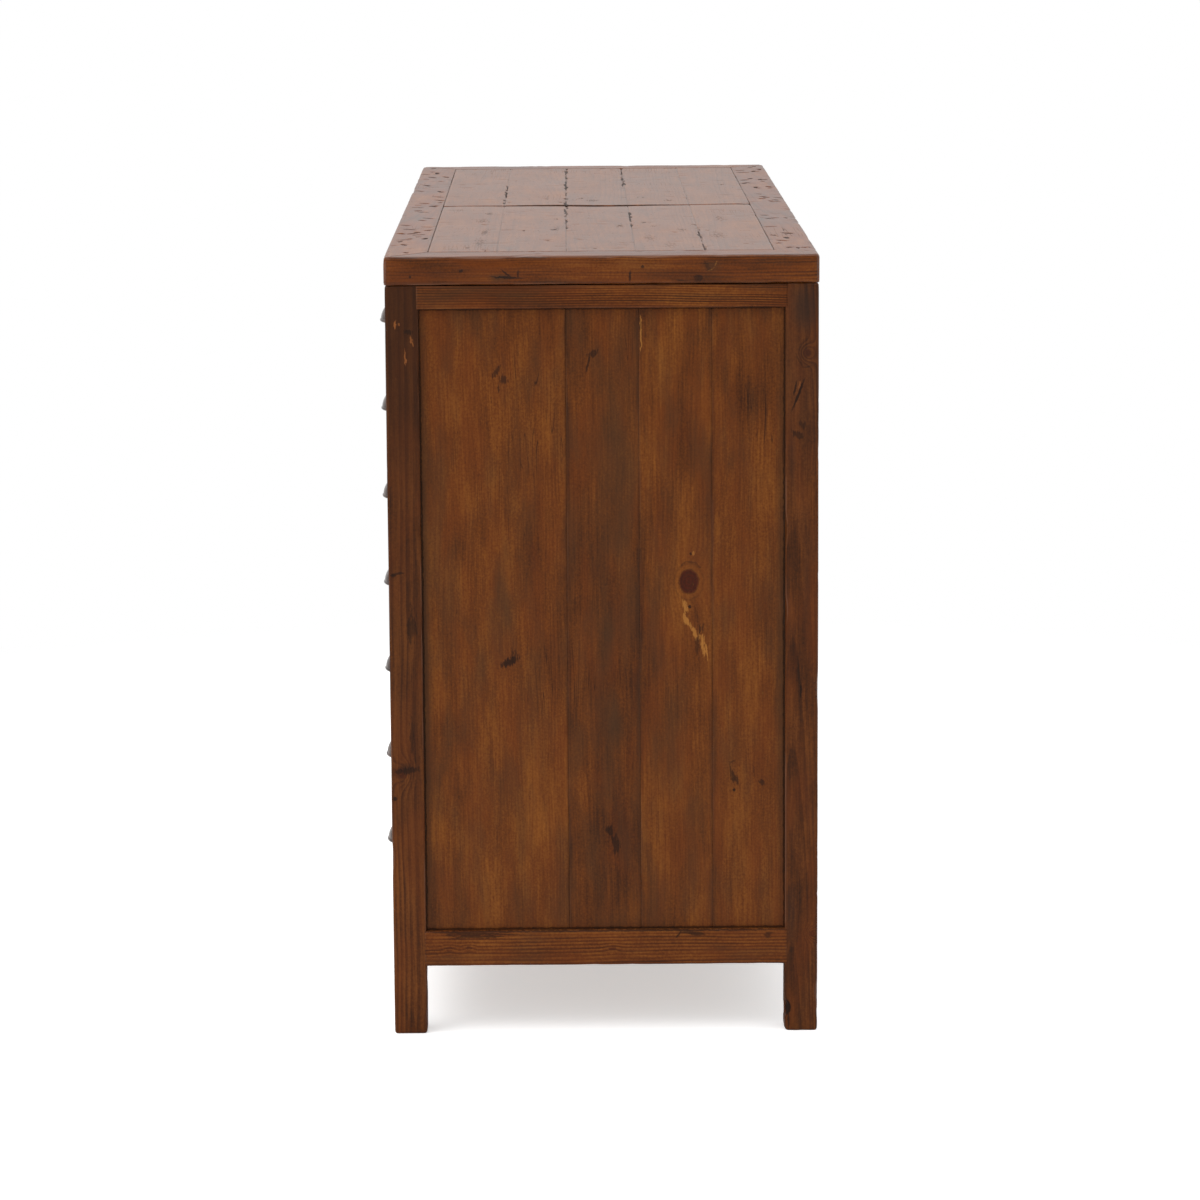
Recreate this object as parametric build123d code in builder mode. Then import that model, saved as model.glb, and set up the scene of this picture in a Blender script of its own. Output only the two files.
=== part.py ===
from build123d import *
from math import sqrt
import os

# Overall size of the chest, measured over the top slab
chest_width = 1320.0
chest_depth = 457.0
chest_height = 838.0

# Top slab: a mitred frame around flush boards, with battens underneath
top_thickness = 30.0
top_overhang = 1.0
top_long_rail_width = 45.0
top_end_rail_width = 55.0
top_board_thickness = 18.0
top_board_count = 5
top_groove_depth = 8.0
top_tongue_thickness = 8.0
top_batten_width = 50.0
top_batten_tenon = 6.0
top_edge_radius = 4.0

# Corner posts and the rails between them
post_width = 35.0
post_edge_bevel = 1.5
leg_clear_height = 75.0
rail_thickness = 24.0
top_rail_height = 25.0
bottom_rail_height = 38.0
tenon_thickness = 8.0
tenon_edge = 4.0
tenon_wall = 5.0

# Framed panels of the two ends and the back
panel_thickness = 12.0
panel_recess = 7.0
panel_groove_depth = 7.0
panel_board_count = 5
muntin_width = 40.0
joint_play = 0.2

# Drawer grid
row_count = 7
column_names = ("left", "middle", "right")
partition_thickness = 24.0
divider_thickness = 12.0
housing_depth = 6.0
runner_thickness = 12.0
runner_ledge = 14.0
guide_height = 18.0
stop_height = 5.0
stop_width = 30.0
stop_place_shares = (-0.3, 0.3)

# Drawers
drawer_gap = 1.5
slide_clearance = 0.3
drawer_headroom = 12.0
drawer_back_clear = 10.0
drawer_front_thickness = 20.0
drawer_side_thickness = 12.0
drawer_back_thickness = 12.0
drawer_back_drop = 6.0
drawer_bottom_thickness = 6.0
drawer_bottom_clear = 3.0
drawer_groove_depth = 5.0
dovetail_length = 12.0
dovetail_place_shares = (0.36, 0.76)
dovetail_root_share = 0.2
dovetail_tip_share = 0.28
dovetail_play = 0.1

# Cup pulls and their screws
pull_half_width = 36.0
pull_reach = 15.0
pull_lip_radius = 1.9
pull_wall = 1.8
pull_axis_inset = 9.0
pull_flange_width = 4.5
pull_flange_thickness = 1.6
pull_ear_radius = 5.5
pull_ear_height = 5.0
pull_rise = 7.5
pull_screw_radius = 1.5
pull_screw_length = 12.0
pull_screw_head_radius = 3.0
pull_screw_head_height = 1.4
pull_screw_slot_width = 0.8
pull_screw_slot_depth = 0.6

# Screws that hold the top on the kicker strips
top_screw_radius = 2.0
top_screw_head_radius = 4.0
top_screw_head_height = 2.5
top_screw_recess_depth = 10.0
top_screw_recess_radius = 5.5
top_screw_bite = 9.0
top_screw_place_shares = (0.25, 0.75)

# Amount by which a cut runs past the surface that it opens
overrun = 5.0

# Planes of the carcase: the origin lies on the floor, in the middle of the whole outline, pulls included
carcase_width = chest_width - 2 * top_overhang
carcase_depth = chest_depth - 2 * top_overhang
front_y = (pull_reach - carcase_depth - top_overhang) / 2
back_y = front_y + carcase_depth
side_x = carcase_width / 2
post_in_x = side_x - post_width
front_post_back_y = front_y + post_width
back_post_front_y = back_y - post_width
rail_in_x = side_x - rail_thickness
rail_in_y = back_y - rail_thickness
panel_out_x = side_x - panel_recess
panel_in_x = panel_out_x - panel_thickness
panel_out_y = back_y - panel_recess
panel_in_y = panel_out_y - panel_thickness

# Heights of the carcase
top_under_z = chest_height - top_thickness
top_rail_under_z = top_under_z - top_rail_height
bottom_rail_top_z = leg_clear_height + bottom_rail_height
groove_low_z = bottom_rail_top_z - panel_groove_depth
groove_high_z = top_rail_under_z + panel_groove_depth
rail_spans = ((leg_clear_height, bottom_rail_top_z), (top_rail_under_z, top_under_z))

# Tenons stay clear of the panel grooves, and two tenons in one post stay clear of each other
tenon_length = post_width - (rail_thickness + tenon_thickness) / 2 - tenon_wall
tenon_shoulder = panel_groove_depth + tenon_edge / 2
tenon_spans = (
    (leg_clear_height + tenon_edge, bottom_rail_top_z - tenon_shoulder),
    (top_rail_under_z + tenon_shoulder, top_under_z - tenon_edge),
)
mortise_length = tenon_length + joint_play
side_tenon_low_x = side_x - (rail_thickness + tenon_thickness) / 2
side_tenon_high_x = side_tenon_low_x + tenon_thickness
front_tenon_low_y = front_y + (post_width - tenon_thickness) / 2
front_tenon_high_y = front_tenon_low_y + tenon_thickness
back_tenon_low_y = back_y - (rail_thickness + tenon_thickness) / 2
back_tenon_high_y = back_tenon_low_y + tenon_thickness

# Drawer openings
column_count = len(column_names)
opening_height = (top_rail_under_z - bottom_rail_top_z + divider_thickness) / row_count - divider_thickness
row_pitch = opening_height + divider_thickness
opening_width = (2 * post_in_x + partition_thickness) / column_count - partition_thickness
column_pitch = opening_width + partition_thickness
column_places = [(column - (column_count - 1) / 2) * column_pitch for column in range(column_count)]
floor_heights = [top_rail_under_z - opening_height - row * row_pitch for row in range(row_count)]
partition_places = [place + column_pitch / 2 for place in column_places[:-1]]

# Drawer box, in the frame of its own opening: origin on the floor of the opening, in the plane of the front
drawer_half_width = opening_width / 2 - drawer_gap
drawer_inner_half_width = drawer_half_width - drawer_side_thickness
drawer_length = panel_in_y - front_y - drawer_back_clear
drawer_side_top_z = opening_height - drawer_headroom
drawer_side_height = drawer_side_top_z - slide_clearance
drawer_bottom_z = stop_height + drawer_bottom_clear
drawer_bottom_top_z = drawer_bottom_z + drawer_bottom_thickness
drawer_back_y = drawer_length - drawer_back_thickness

# Cup pull: a quarter of a spindle, whose axis lies behind the drawer front
shell_radius = pull_reach - pull_lip_radius + pull_axis_inset + pull_wall / 2
lens_radius = (pull_half_width**2 + shell_radius**2) / (2 * shell_radius)
cup_half_width = sqrt(lens_radius**2 - (lens_radius - shell_radius + pull_axis_inset) ** 2)
cup_height = sqrt(shell_radius**2 - pull_axis_inset**2)
ear_x = cup_half_width + pull_ear_radius
ear_places = [(-ear_x, pull_ear_height), (ear_x, pull_ear_height)]
pull_place_z = opening_height / 2 + pull_rise

os.makedirs("parts", exist_ok=True)


def board(low, high, mode=Mode.ADD):
    """Adds or cuts a straight board between two opposite corners."""
    centre = tuple((start + end) / 2 for start, end in zip(low, high))
    size = tuple(end - start for start, end in zip(low, high))
    with Locations(centre):
        Box(*size, mode=mode)


def write_node(name, pieces):
    """Writes a node whose pieces stay separate solids."""
    solids = [solid for piece in pieces for solid in piece.solids()]
    export_step(Compound(solids, label=name), f"parts/{name}.step")


def mirrored(piece):
    """The same piece on the other side of the chest's middle."""
    with BuildPart() as other:
        mirror(piece, about=Plane.YZ)
    return other.part


# Front posts: mortises for two rails, a groove for the end panel, housings for the dividers
with BuildPart() as front_right_post:
    board((post_in_x, front_y, 0), (side_x, front_post_back_y, top_under_z))
    outer_edges = front_right_post.edges().filter_by(Axis.Z).group_by(Axis.X)[-1]
    chamfer(outer_edges, post_edge_bevel)
    for low_z, high_z in tenon_spans:
        board(
            (side_tenon_low_x, front_post_back_y - mortise_length, low_z),
            (side_tenon_high_x, front_post_back_y + overrun, high_z),
            mode=Mode.SUBTRACT,
        )
        board(
            (post_in_x - overrun, front_tenon_low_y, low_z),
            (post_in_x + mortise_length, front_tenon_high_y, high_z),
            mode=Mode.SUBTRACT,
        )
    board(
        (panel_in_x, front_post_back_y - panel_groove_depth, groove_low_z),
        (panel_out_x, front_post_back_y + overrun, groove_high_z),
        mode=Mode.SUBTRACT,
    )
    for floor_z in floor_heights[:-1]:
        board(
            (post_in_x - overrun, front_y - overrun, floor_z - divider_thickness),
            (post_in_x + housing_depth, front_post_back_y + overrun, floor_z),
            mode=Mode.SUBTRACT,
        )
front_right_post.part.label = "front_right_post"
export_step(front_right_post.part, "parts/front_right_post.step")

front_left_post = mirrored(front_right_post.part)
front_left_post.label = "front_left_post"
export_step(front_left_post, "parts/front_left_post.step")

# Back posts: mortises for two rails, grooves for the end panel and the back panel
with BuildPart() as back_right_post:
    board((post_in_x, back_post_front_y, 0), (side_x, back_y, top_under_z))
    outer_edges = back_right_post.edges().filter_by(Axis.Z).group_by(Axis.X)[-1]
    chamfer(outer_edges, post_edge_bevel)
    for low_z, high_z in tenon_spans:
        board(
            (side_tenon_low_x, back_post_front_y - overrun, low_z),
            (side_tenon_high_x, back_post_front_y + mortise_length, high_z),
            mode=Mode.SUBTRACT,
        )
        board(
            (post_in_x - overrun, back_tenon_low_y, low_z),
            (post_in_x + mortise_length, back_tenon_high_y, high_z),
            mode=Mode.SUBTRACT,
        )
    board(
        (panel_in_x, back_post_front_y - overrun, groove_low_z),
        (panel_out_x, back_post_front_y + panel_groove_depth, groove_high_z),
        mode=Mode.SUBTRACT,
    )
    board(
        (post_in_x - overrun, panel_in_y, groove_low_z),
        (post_in_x + panel_groove_depth, panel_out_y, groove_high_z),
        mode=Mode.SUBTRACT,
    )
back_right_post.part.label = "back_right_post"
export_step(back_right_post.part, "parts/back_right_post.step")

back_left_post = mirrored(back_right_post.part)
back_left_post.label = "back_left_post"
export_step(back_left_post, "parts/back_left_post.step")

# Front rails, above and below the drawers, as deep as the posts, with mortises for the partitions
with BuildPart() as front_rails:
    for (low_z, high_z), (tenon_low_z, tenon_high_z) in zip(rail_spans, tenon_spans):
        board((-post_in_x, front_y, low_z), (post_in_x, front_post_back_y, high_z))
        board(
            (-post_in_x - tenon_length, front_tenon_low_y, tenon_low_z),
            (post_in_x + tenon_length, front_tenon_high_y, tenon_high_z),
        )
    for place in partition_places:
        board(
            (place - tenon_thickness / 2, front_y + tenon_edge, bottom_rail_top_z - housing_depth),
            (place + tenon_thickness / 2, front_post_back_y - tenon_edge, top_rail_under_z + housing_depth),
            mode=Mode.SUBTRACT,
        )
front_rails.part.label = "front_rails"
export_step(front_rails.part, "parts/front_rails.step")

# End rails, grooved for the end panels
with BuildPart() as right_side_rails:
    for (low_z, high_z), (tenon_low_z, tenon_high_z) in zip(rail_spans, tenon_spans):
        board((rail_in_x, front_post_back_y, low_z), (side_x, back_post_front_y, high_z))
        board(
            (side_tenon_low_x, front_post_back_y - tenon_length, tenon_low_z),
            (side_tenon_high_x, back_post_front_y + tenon_length, tenon_high_z),
        )
    board(
        (panel_in_x, front_post_back_y - overrun, groove_low_z),
        (panel_out_x, back_post_front_y + overrun, groove_high_z),
        mode=Mode.SUBTRACT,
    )
left_side_rails = mirrored(right_side_rails.part)
write_node("side_rails", [left_side_rails, right_side_rails.part])

# End panels: upright boards, edge to edge, held in grooves all round
panel_low_z = groove_low_z + joint_play
panel_high_z = groove_high_z - joint_play
panel_tongue = panel_groove_depth - joint_play
end_board_pitch = (back_post_front_y - front_post_back_y) / panel_board_count
with BuildPart() as right_side_panel:
    for number in range(panel_board_count):
        start_y = front_post_back_y + number * end_board_pitch + joint_play / 2
        end_y = start_y + end_board_pitch - joint_play
        if number == 0:
            start_y = front_post_back_y - panel_tongue
        if number == panel_board_count - 1:
            end_y = back_post_front_y + panel_tongue
        board((panel_in_x, start_y, panel_low_z), (panel_out_x, end_y, panel_high_z))
right_side_panel.part.label = "right_side_panel"
export_step(right_side_panel.part, "parts/right_side_panel.step")

left_side_panel = mirrored(right_side_panel.part)
left_side_panel.label = "left_side_panel"
export_step(left_side_panel, "parts/left_side_panel.step")

# Back frame: two rails and the muntins behind the partitions, grooved for the back panels
with BuildPart() as back_rails:
    for (low_z, high_z), (tenon_low_z, tenon_high_z) in zip(rail_spans, tenon_spans):
        board((-post_in_x, rail_in_y, low_z), (post_in_x, back_y, high_z))
        board(
            (-post_in_x - tenon_length, back_tenon_low_y, tenon_low_z),
            (post_in_x + tenon_length, back_tenon_high_y, tenon_high_z),
        )
    board(
        (-post_in_x - overrun, panel_in_y, groove_low_z),
        (post_in_x + overrun, panel_out_y, groove_high_z),
        mode=Mode.SUBTRACT,
    )
with BuildPart() as back_muntins:
    for place in partition_places:
        low_x = place - muntin_width / 2
        high_x = place + muntin_width / 2
        board((low_x, rail_in_y, bottom_rail_top_z), (high_x, back_y, top_rail_under_z))
        board((low_x, panel_in_y, panel_low_z), (high_x, panel_out_y, panel_high_z))
        for edge_x in (low_x, high_x):
            board(
                (edge_x - panel_groove_depth, panel_in_y, panel_low_z - overrun),
                (edge_x + panel_groove_depth, panel_out_y, panel_high_z + overrun),
                mode=Mode.SUBTRACT,
            )
write_node("back_frame", [back_rails.part, back_muntins.part])

# Back panels: upright boards in the bays between posts and muntins
bay_starts = [-post_in_x] + [place + muntin_width / 2 for place in partition_places]
bay_ends = [place - muntin_width / 2 for place in partition_places] + [post_in_x]
with BuildPart() as back_panels:
    for bay_start, bay_end in zip(bay_starts, bay_ends):
        back_board_pitch = (bay_end - bay_start) / panel_board_count
        for number in range(panel_board_count):
            start_x = bay_start + number * back_board_pitch + joint_play / 2
            end_x = start_x + back_board_pitch - joint_play
            if number == 0:
                start_x = bay_start - panel_tongue
            if number == panel_board_count - 1:
                end_x = bay_end + panel_tongue
            board((start_x, panel_in_y, panel_low_z), (end_x, panel_out_y, panel_high_z))
back_panels.part.label = "back_panels"
export_step(back_panels.part, "parts/back_panels.step")

# Partitions between the columns of drawers, tenoned into the front rails and housed for the dividers
with BuildPart() as partitions:
    for place in partition_places:
        low_x = place - partition_thickness / 2
        high_x = place + partition_thickness / 2
        board((low_x, front_y, bottom_rail_top_z), (high_x, rail_in_y, top_rail_under_z))
        board(
            (
                place - tenon_thickness / 2,
                front_y + tenon_edge,
                bottom_rail_top_z - housing_depth + joint_play,
            ),
            (
                place + tenon_thickness / 2,
                front_post_back_y - tenon_edge,
                top_rail_under_z + housing_depth - joint_play,
            ),
        )
        for floor_z in floor_heights[:-1]:
            for face_x in (low_x, high_x):
                board(
                    (face_x - housing_depth, front_y - overrun, floor_z - divider_thickness),
                    (face_x + housing_depth, front_post_back_y, floor_z),
                    mode=Mode.SUBTRACT,
                )
partitions.part.label = "partitions"
export_step(partitions.part, "parts/partitions.step")

# Dividers between the rows, housed in the posts and the partitions
divider_half_length = opening_width / 2 + housing_depth - joint_play
with BuildPart() as drawer_dividers:
    for place in column_places:
        for floor_z in floor_heights[:-1]:
            board(
                (place - divider_half_length, front_y, floor_z - divider_thickness),
                (place + divider_half_length, front_post_back_y, floor_z),
            )
drawer_dividers.part.label = "drawer_dividers"
export_step(drawer_dividers.part, "parts/drawer_dividers.step")

# Runners under the drawers, level with the dividers. Along the ends they lie against the panels,
# and in the bottom row against the rails. A bearer under each partition serves two columns.
ledge_x = post_in_x - runner_ledge
bearer_half_width = partition_thickness / 2 + runner_ledge
with BuildPart() as end_runners:
    for floor_z in floor_heights:
        wall_x = rail_in_x if floor_z == floor_heights[-1] else panel_in_x
        board(
            (ledge_x, front_post_back_y, floor_z - runner_thickness),
            (wall_x, back_post_front_y, floor_z),
        )
    mirror(about=Plane.YZ)
with BuildPart() as inner_runners:
    for place in partition_places:
        for floor_z in floor_heights[:-1]:
            for direction in (-1, 1):
                face_x = place + direction * partition_thickness / 2
                lip_x = place + direction * bearer_half_width
                board(
                    (min(face_x, lip_x), front_post_back_y, floor_z - runner_thickness),
                    (max(face_x, lip_x), rail_in_y, floor_z),
                )
        board(
            (place - bearer_half_width, front_post_back_y, bottom_rail_top_z - runner_thickness),
            (place + bearer_half_width, rail_in_y, bottom_rail_top_z),
        )

# Kicker strips above the top row, screwed to the top slab from below
kicker_length = back_post_front_y - front_post_back_y
end_kicker_x = (ledge_x + rail_in_x) / 2
kicker_places = [-end_kicker_x] + partition_places + [end_kicker_x]
top_screw_places = [
    (place, front_post_back_y + share * kicker_length)
    for place in kicker_places
    for share in top_screw_place_shares
]
top_screw_seat_z = top_rail_under_z + top_screw_recess_depth
with BuildPart() as kicker_strips:
    board(
        (ledge_x, front_post_back_y, top_rail_under_z),
        (rail_in_x, back_post_front_y, top_under_z),
    )
    mirror(about=Plane.YZ)
    for place in partition_places:
        board(
            (place - bearer_half_width, front_post_back_y, top_rail_under_z),
            (place + bearer_half_width, rail_in_y, top_under_z),
        )
    with BuildSketch(Plane.XY.offset(top_rail_under_z)):
        with Locations(*top_screw_places):
            Circle(top_screw_recess_radius)
    extrude(amount=top_screw_recess_depth, mode=Mode.SUBTRACT)
    with BuildSketch(Plane.XY.offset(top_screw_seat_z)):
        with Locations(*top_screw_places):
            Circle(top_screw_radius)
    extrude(amount=top_rail_height, mode=Mode.SUBTRACT)
write_node("drawer_runners", [end_runners.part, inner_runners.part, kicker_strips.part])

# Guide strips on the end runners, flush with the posts
with BuildPart() as drawer_guides:
    for floor_z in floor_heights:
        board(
            (post_in_x, front_post_back_y, floor_z),
            (panel_in_x, back_post_front_y, floor_z + guide_height),
        )
    mirror(about=Plane.YZ)
drawer_guides.part.label = "drawer_guides"
export_step(drawer_guides.part, "parts/drawer_guides.step")

# Stop blocks behind the drawer fronts, on the dividers and the bottom rail
with BuildPart() as drawer_stops:
    for column_x in column_places:
        for share in stop_place_shares:
            stop_x = column_x + share * opening_width
            for floor_z in floor_heights:
                board(
                    (
                        stop_x - stop_width / 2,
                        front_y + drawer_front_thickness + slide_clearance,
                        floor_z,
                    ),
                    (stop_x + stop_width / 2, front_post_back_y, floor_z + stop_height),
                )
drawer_stops.part.label = "drawer_stops"
export_step(drawer_stops.part, "parts/drawer_stops.step")

# Top frame: mitred rails, grooved for the boards, and battens let into the long rails
slab_x = chest_width / 2
slab_front_y = front_y - top_overhang
slab_back_y = back_y + top_overhang
field_x = slab_x - top_end_rail_width
field_front_y = slab_front_y + top_long_rail_width
field_back_y = slab_back_y - top_long_rail_width
board_under_z = chest_height - top_board_thickness
batten_places = [partition_places[0], 0, partition_places[-1]]
batten_tenon_low_z = top_under_z + (board_under_z - top_under_z) / 3
slab_corners = (
    ((-slab_x, slab_front_y), (slab_x, slab_front_y), (field_x, field_front_y), (-field_x, field_front_y)),
    ((slab_x, slab_back_y), (-slab_x, slab_back_y), (-field_x, field_back_y), (field_x, field_back_y)),
    ((slab_x, slab_front_y), (slab_x, slab_back_y), (field_x, field_back_y), (field_x, field_front_y)),
    ((-slab_x, slab_back_y), (-slab_x, slab_front_y), (-field_x, field_front_y), (-field_x, field_back_y)),
)


def top_rail(corners):
    """One mitred rail of the top; its first two corners lie on the outer edge."""
    outer_middle = Vector(*corners[0]) / 2 + Vector(*corners[1]) / 2
    outer_point = (outer_middle.X, outer_middle.Y, chest_height)
    with BuildPart() as rail:
        with BuildSketch(Plane.XY.offset(top_under_z)):
            with BuildLine():
                Polyline(*corners, close=True)
            make_face()
        extrude(amount=top_thickness)
        fillet(rail.edges().sort_by_distance(outer_point)[0], top_edge_radius)
        board(
            (-field_x - top_groove_depth, field_front_y - top_groove_depth, board_under_z),
            (
                field_x + top_groove_depth,
                field_back_y + top_groove_depth,
                board_under_z + top_tongue_thickness,
            ),
            mode=Mode.SUBTRACT,
        )
        for place in batten_places:
            board(
                (place - top_batten_width / 2, field_front_y - top_batten_tenon, batten_tenon_low_z),
                (place + top_batten_width / 2, field_back_y + top_batten_tenon, board_under_z),
                mode=Mode.SUBTRACT,
            )
        with BuildSketch(Plane.XY.offset(top_under_z)):
            with Locations(*top_screw_places):
                Circle(top_screw_radius)
        extrude(amount=top_screw_bite, mode=Mode.SUBTRACT)
    return rail.part


with BuildPart() as top_battens:
    for place in batten_places:
        low_x = place - top_batten_width / 2
        high_x = place + top_batten_width / 2
        board((low_x, field_front_y, top_under_z), (high_x, field_back_y, board_under_z))
        board(
            (low_x, field_front_y - top_batten_tenon + joint_play, batten_tenon_low_z),
            (high_x, field_back_y + top_batten_tenon - joint_play, board_under_z),
        )
    with BuildSketch(Plane.XY.offset(top_under_z)):
        with Locations(*top_screw_places):
            Circle(top_screw_radius)
    extrude(amount=top_screw_bite, mode=Mode.SUBTRACT)
write_node("top_frame", [top_rail(corners) for corners in slab_corners] + [top_battens.part])

# Top boards: two lengths that meet over the middle batten, with tongues in the frame's groove
top_board_pitch = (field_back_y - field_front_y) / top_board_count
top_tongue = top_groove_depth - joint_play
tongue_top_z = board_under_z + top_tongue_thickness
with BuildPart() as top_boards:
    for number in range(top_board_count):
        start_y = field_front_y + number * top_board_pitch + joint_play / 2
        end_y = start_y + top_board_pitch - joint_play
        board((joint_play / 2, start_y, board_under_z), (field_x, end_y, chest_height))
        if number == 0:
            start_y = field_front_y - top_tongue
        if number == top_board_count - 1:
            end_y = field_back_y + top_tongue
        board((joint_play / 2, start_y, board_under_z), (field_x + top_tongue, end_y, tongue_top_z))
    mirror(about=Plane.YZ)
top_boards.part.label = "top_boards"
export_step(top_boards.part, "parts/top_boards.step")

# Screws up through the kicker strips into the top
with BuildPart() as top_screws:
    with BuildSketch(Plane.XY.offset(top_screw_seat_z)):
        with Locations(*top_screw_places):
            Circle(top_screw_radius)
    extrude(amount=top_under_z + top_screw_bite - top_screw_seat_z)
    with BuildSketch(Plane.XY.offset(top_screw_seat_z)):
        with Locations(*top_screw_places):
            Circle(top_screw_head_radius)
    extrude(amount=-top_screw_head_height)
top_screws.part.label = "top_screws"
export_step(top_screws.part, "parts/top_screws.step")


def dovetails(play):
    """The tails of the right drawer side, seen along the chest, grown by the play of their sockets."""
    with BuildSketch(Plane.YZ.offset(drawer_inner_half_width)) as tails:
        for share in dovetail_place_shares:
            middle_z = slide_clearance + share * drawer_side_height
            root = dovetail_root_share * drawer_side_height / 2 + play
            tip = dovetail_tip_share * drawer_side_height / 2 + play
            tip_y = drawer_front_thickness - dovetail_length
            with BuildLine():
                Polyline(
                    (drawer_front_thickness, middle_z - root),
                    (drawer_front_thickness, middle_z + root),
                    (tip_y, middle_z + tip),
                    (tip_y, middle_z - tip),
                    close=True,
                )
            make_face()
    return tails.sketch


# Drawer front: sockets for the dovetails, a groove for the bottom and pilot holes for the pull
with BuildPart() as drawer_front:
    board(
        (0, 0, drawer_gap),
        (drawer_half_width, drawer_front_thickness, opening_height - drawer_gap),
    )
    extrude(dovetails(dovetail_play), amount=drawer_side_thickness + overrun, mode=Mode.SUBTRACT)
    mirror(about=Plane.YZ)
    board(
        (
            -drawer_inner_half_width - drawer_groove_depth,
            drawer_front_thickness - drawer_groove_depth,
            drawer_bottom_z,
        ),
        (
            drawer_inner_half_width + drawer_groove_depth,
            drawer_front_thickness + overrun,
            drawer_bottom_top_z,
        ),
        mode=Mode.SUBTRACT,
    )
    with BuildSketch(Plane.XZ):
        with Locations((0, pull_place_z)):
            with Locations(*ear_places):
                Circle(pull_screw_radius)
    extrude(amount=-pull_screw_length, mode=Mode.SUBTRACT)

# Drawer sides: dovetails in front, a groove for the bottom, a housing for the back
with BuildPart() as drawer_right_side:
    board(
        (drawer_inner_half_width, drawer_front_thickness, slide_clearance),
        (drawer_half_width, drawer_length, drawer_side_top_z),
    )
    extrude(dovetails(0), amount=drawer_side_thickness)
    board(
        (
            drawer_inner_half_width - overrun,
            drawer_front_thickness - drawer_groove_depth,
            drawer_bottom_z,
        ),
        (drawer_inner_half_width + drawer_groove_depth, drawer_length + overrun, drawer_bottom_top_z),
        mode=Mode.SUBTRACT,
    )
    board(
        (drawer_inner_half_width - overrun, drawer_back_y, drawer_bottom_top_z),
        (
            drawer_inner_half_width + drawer_groove_depth,
            drawer_length + overrun,
            drawer_side_top_z + overrun,
        ),
        mode=Mode.SUBTRACT,
    )
drawer_left_side = mirrored(drawer_right_side.part)

# Drawer back, on the bottom, and the bottom in its grooves
drawer_tongue = drawer_groove_depth - joint_play
with BuildPart() as drawer_back:
    board(
        (-drawer_inner_half_width - drawer_tongue, drawer_back_y, drawer_bottom_top_z),
        (
            drawer_inner_half_width + drawer_tongue,
            drawer_length,
            drawer_side_top_z - drawer_back_drop,
        ),
    )
with BuildPart() as drawer_bottom:
    board(
        (
            -drawer_inner_half_width - drawer_tongue,
            drawer_front_thickness - drawer_tongue,
            drawer_bottom_z,
        ),
        (drawer_inner_half_width + drawer_tongue, drawer_length, drawer_bottom_top_z),
    )
drawer_pieces = (
    drawer_front.part,
    drawer_left_side,
    drawer_right_side.part,
    drawer_back.part,
    drawer_bottom.part,
)


def spindle_profile(half_width, radius):
    """Half of the cup's spindle, from its axis outwards."""
    with BuildSketch(Plane((0, pull_axis_inset, 0))) as profile:
        with BuildLine():
            ThreePointArc((-half_width, 0), (0, radius), (half_width, 0))
            Line((half_width, 0), (-half_width, 0))
        make_face()
    return profile.sketch


# Cup pull: thin shell, rolled lip and flange with two ears, from the middle of the lip
pull_axis = Axis((0, pull_axis_inset, 0), (1, 0, 0))
with BuildPart() as cup:
    revolve(spindle_profile(pull_half_width, shell_radius), axis=pull_axis)
    hollow = spindle_profile(pull_half_width - pull_wall, shell_radius - pull_wall)
    revolve(hollow, axis=pull_axis, mode=Mode.SUBTRACT)
    board(
        (-pull_half_width, pull_axis_inset - shell_radius - overrun, -shell_radius - overrun),
        (pull_half_width, pull_axis_inset + shell_radius + overrun, 0),
        mode=Mode.SUBTRACT,
    )
    with BuildLine() as lip_line:
        ThreePointArc(
            (-pull_half_width, pull_axis_inset),
            (0, pull_lip_radius - pull_reach),
            (pull_half_width, pull_axis_inset),
        )
    with BuildSketch(Plane(lip_line.line @ 0, z_dir=lip_line.line % 0)):
        Circle(pull_lip_radius)
    sweep(path=lip_line.line)
    with BuildSketch(Plane.XZ):
        with BuildLine():
            ThreePointArc(
                (-cup_half_width - pull_flange_width, 0),
                (0, cup_height + pull_flange_width),
                (cup_half_width + pull_flange_width, 0),
            )
            Line(
                (cup_half_width + pull_flange_width, 0),
                (-cup_half_width - pull_flange_width, 0),
            )
        make_face()
        with Locations(*ear_places):
            Circle(pull_ear_radius)
        with BuildLine():
            ThreePointArc(
                (pull_wall / 2 - cup_half_width, 0),
                (0, cup_height - pull_wall / 2),
                (cup_half_width - pull_wall / 2, 0),
            )
            Line((cup_half_width - pull_wall / 2, 0), (pull_wall / 2 - cup_half_width, 0))
        make_face(mode=Mode.SUBTRACT)
    extrude(amount=pull_flange_thickness)
    board(
        (-pull_half_width - overrun, 0, -shell_radius),
        (pull_half_width + overrun, pull_axis_inset + shell_radius + overrun, shell_radius + overrun),
        mode=Mode.SUBTRACT,
    )
    with BuildSketch(Plane.XZ):
        with Locations(*ear_places):
            Circle(pull_screw_radius)
    extrude(amount=pull_flange_thickness, mode=Mode.SUBTRACT)

# Slotted screws through the ears into the drawer front
with BuildPart() as pull_screws:
    with BuildSketch(Plane.XZ.offset(pull_flange_thickness)):
        with Locations(*ear_places):
            Circle(pull_screw_radius)
    extrude(amount=-pull_flange_thickness - pull_screw_length)
    with BuildSketch(Plane.XZ.offset(pull_flange_thickness)):
        with Locations(*ear_places):
            Circle(pull_screw_head_radius)
    extrude(amount=pull_screw_head_height)
    with BuildSketch(Plane.XZ.offset(pull_flange_thickness + pull_screw_head_height)):
        with Locations(*ear_places):
            Rectangle(2 * pull_screw_head_radius, pull_screw_slot_width)
    extrude(amount=-pull_screw_slot_depth, mode=Mode.SUBTRACT)
pull_pieces = (cup.part, pull_screws.part)

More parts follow.
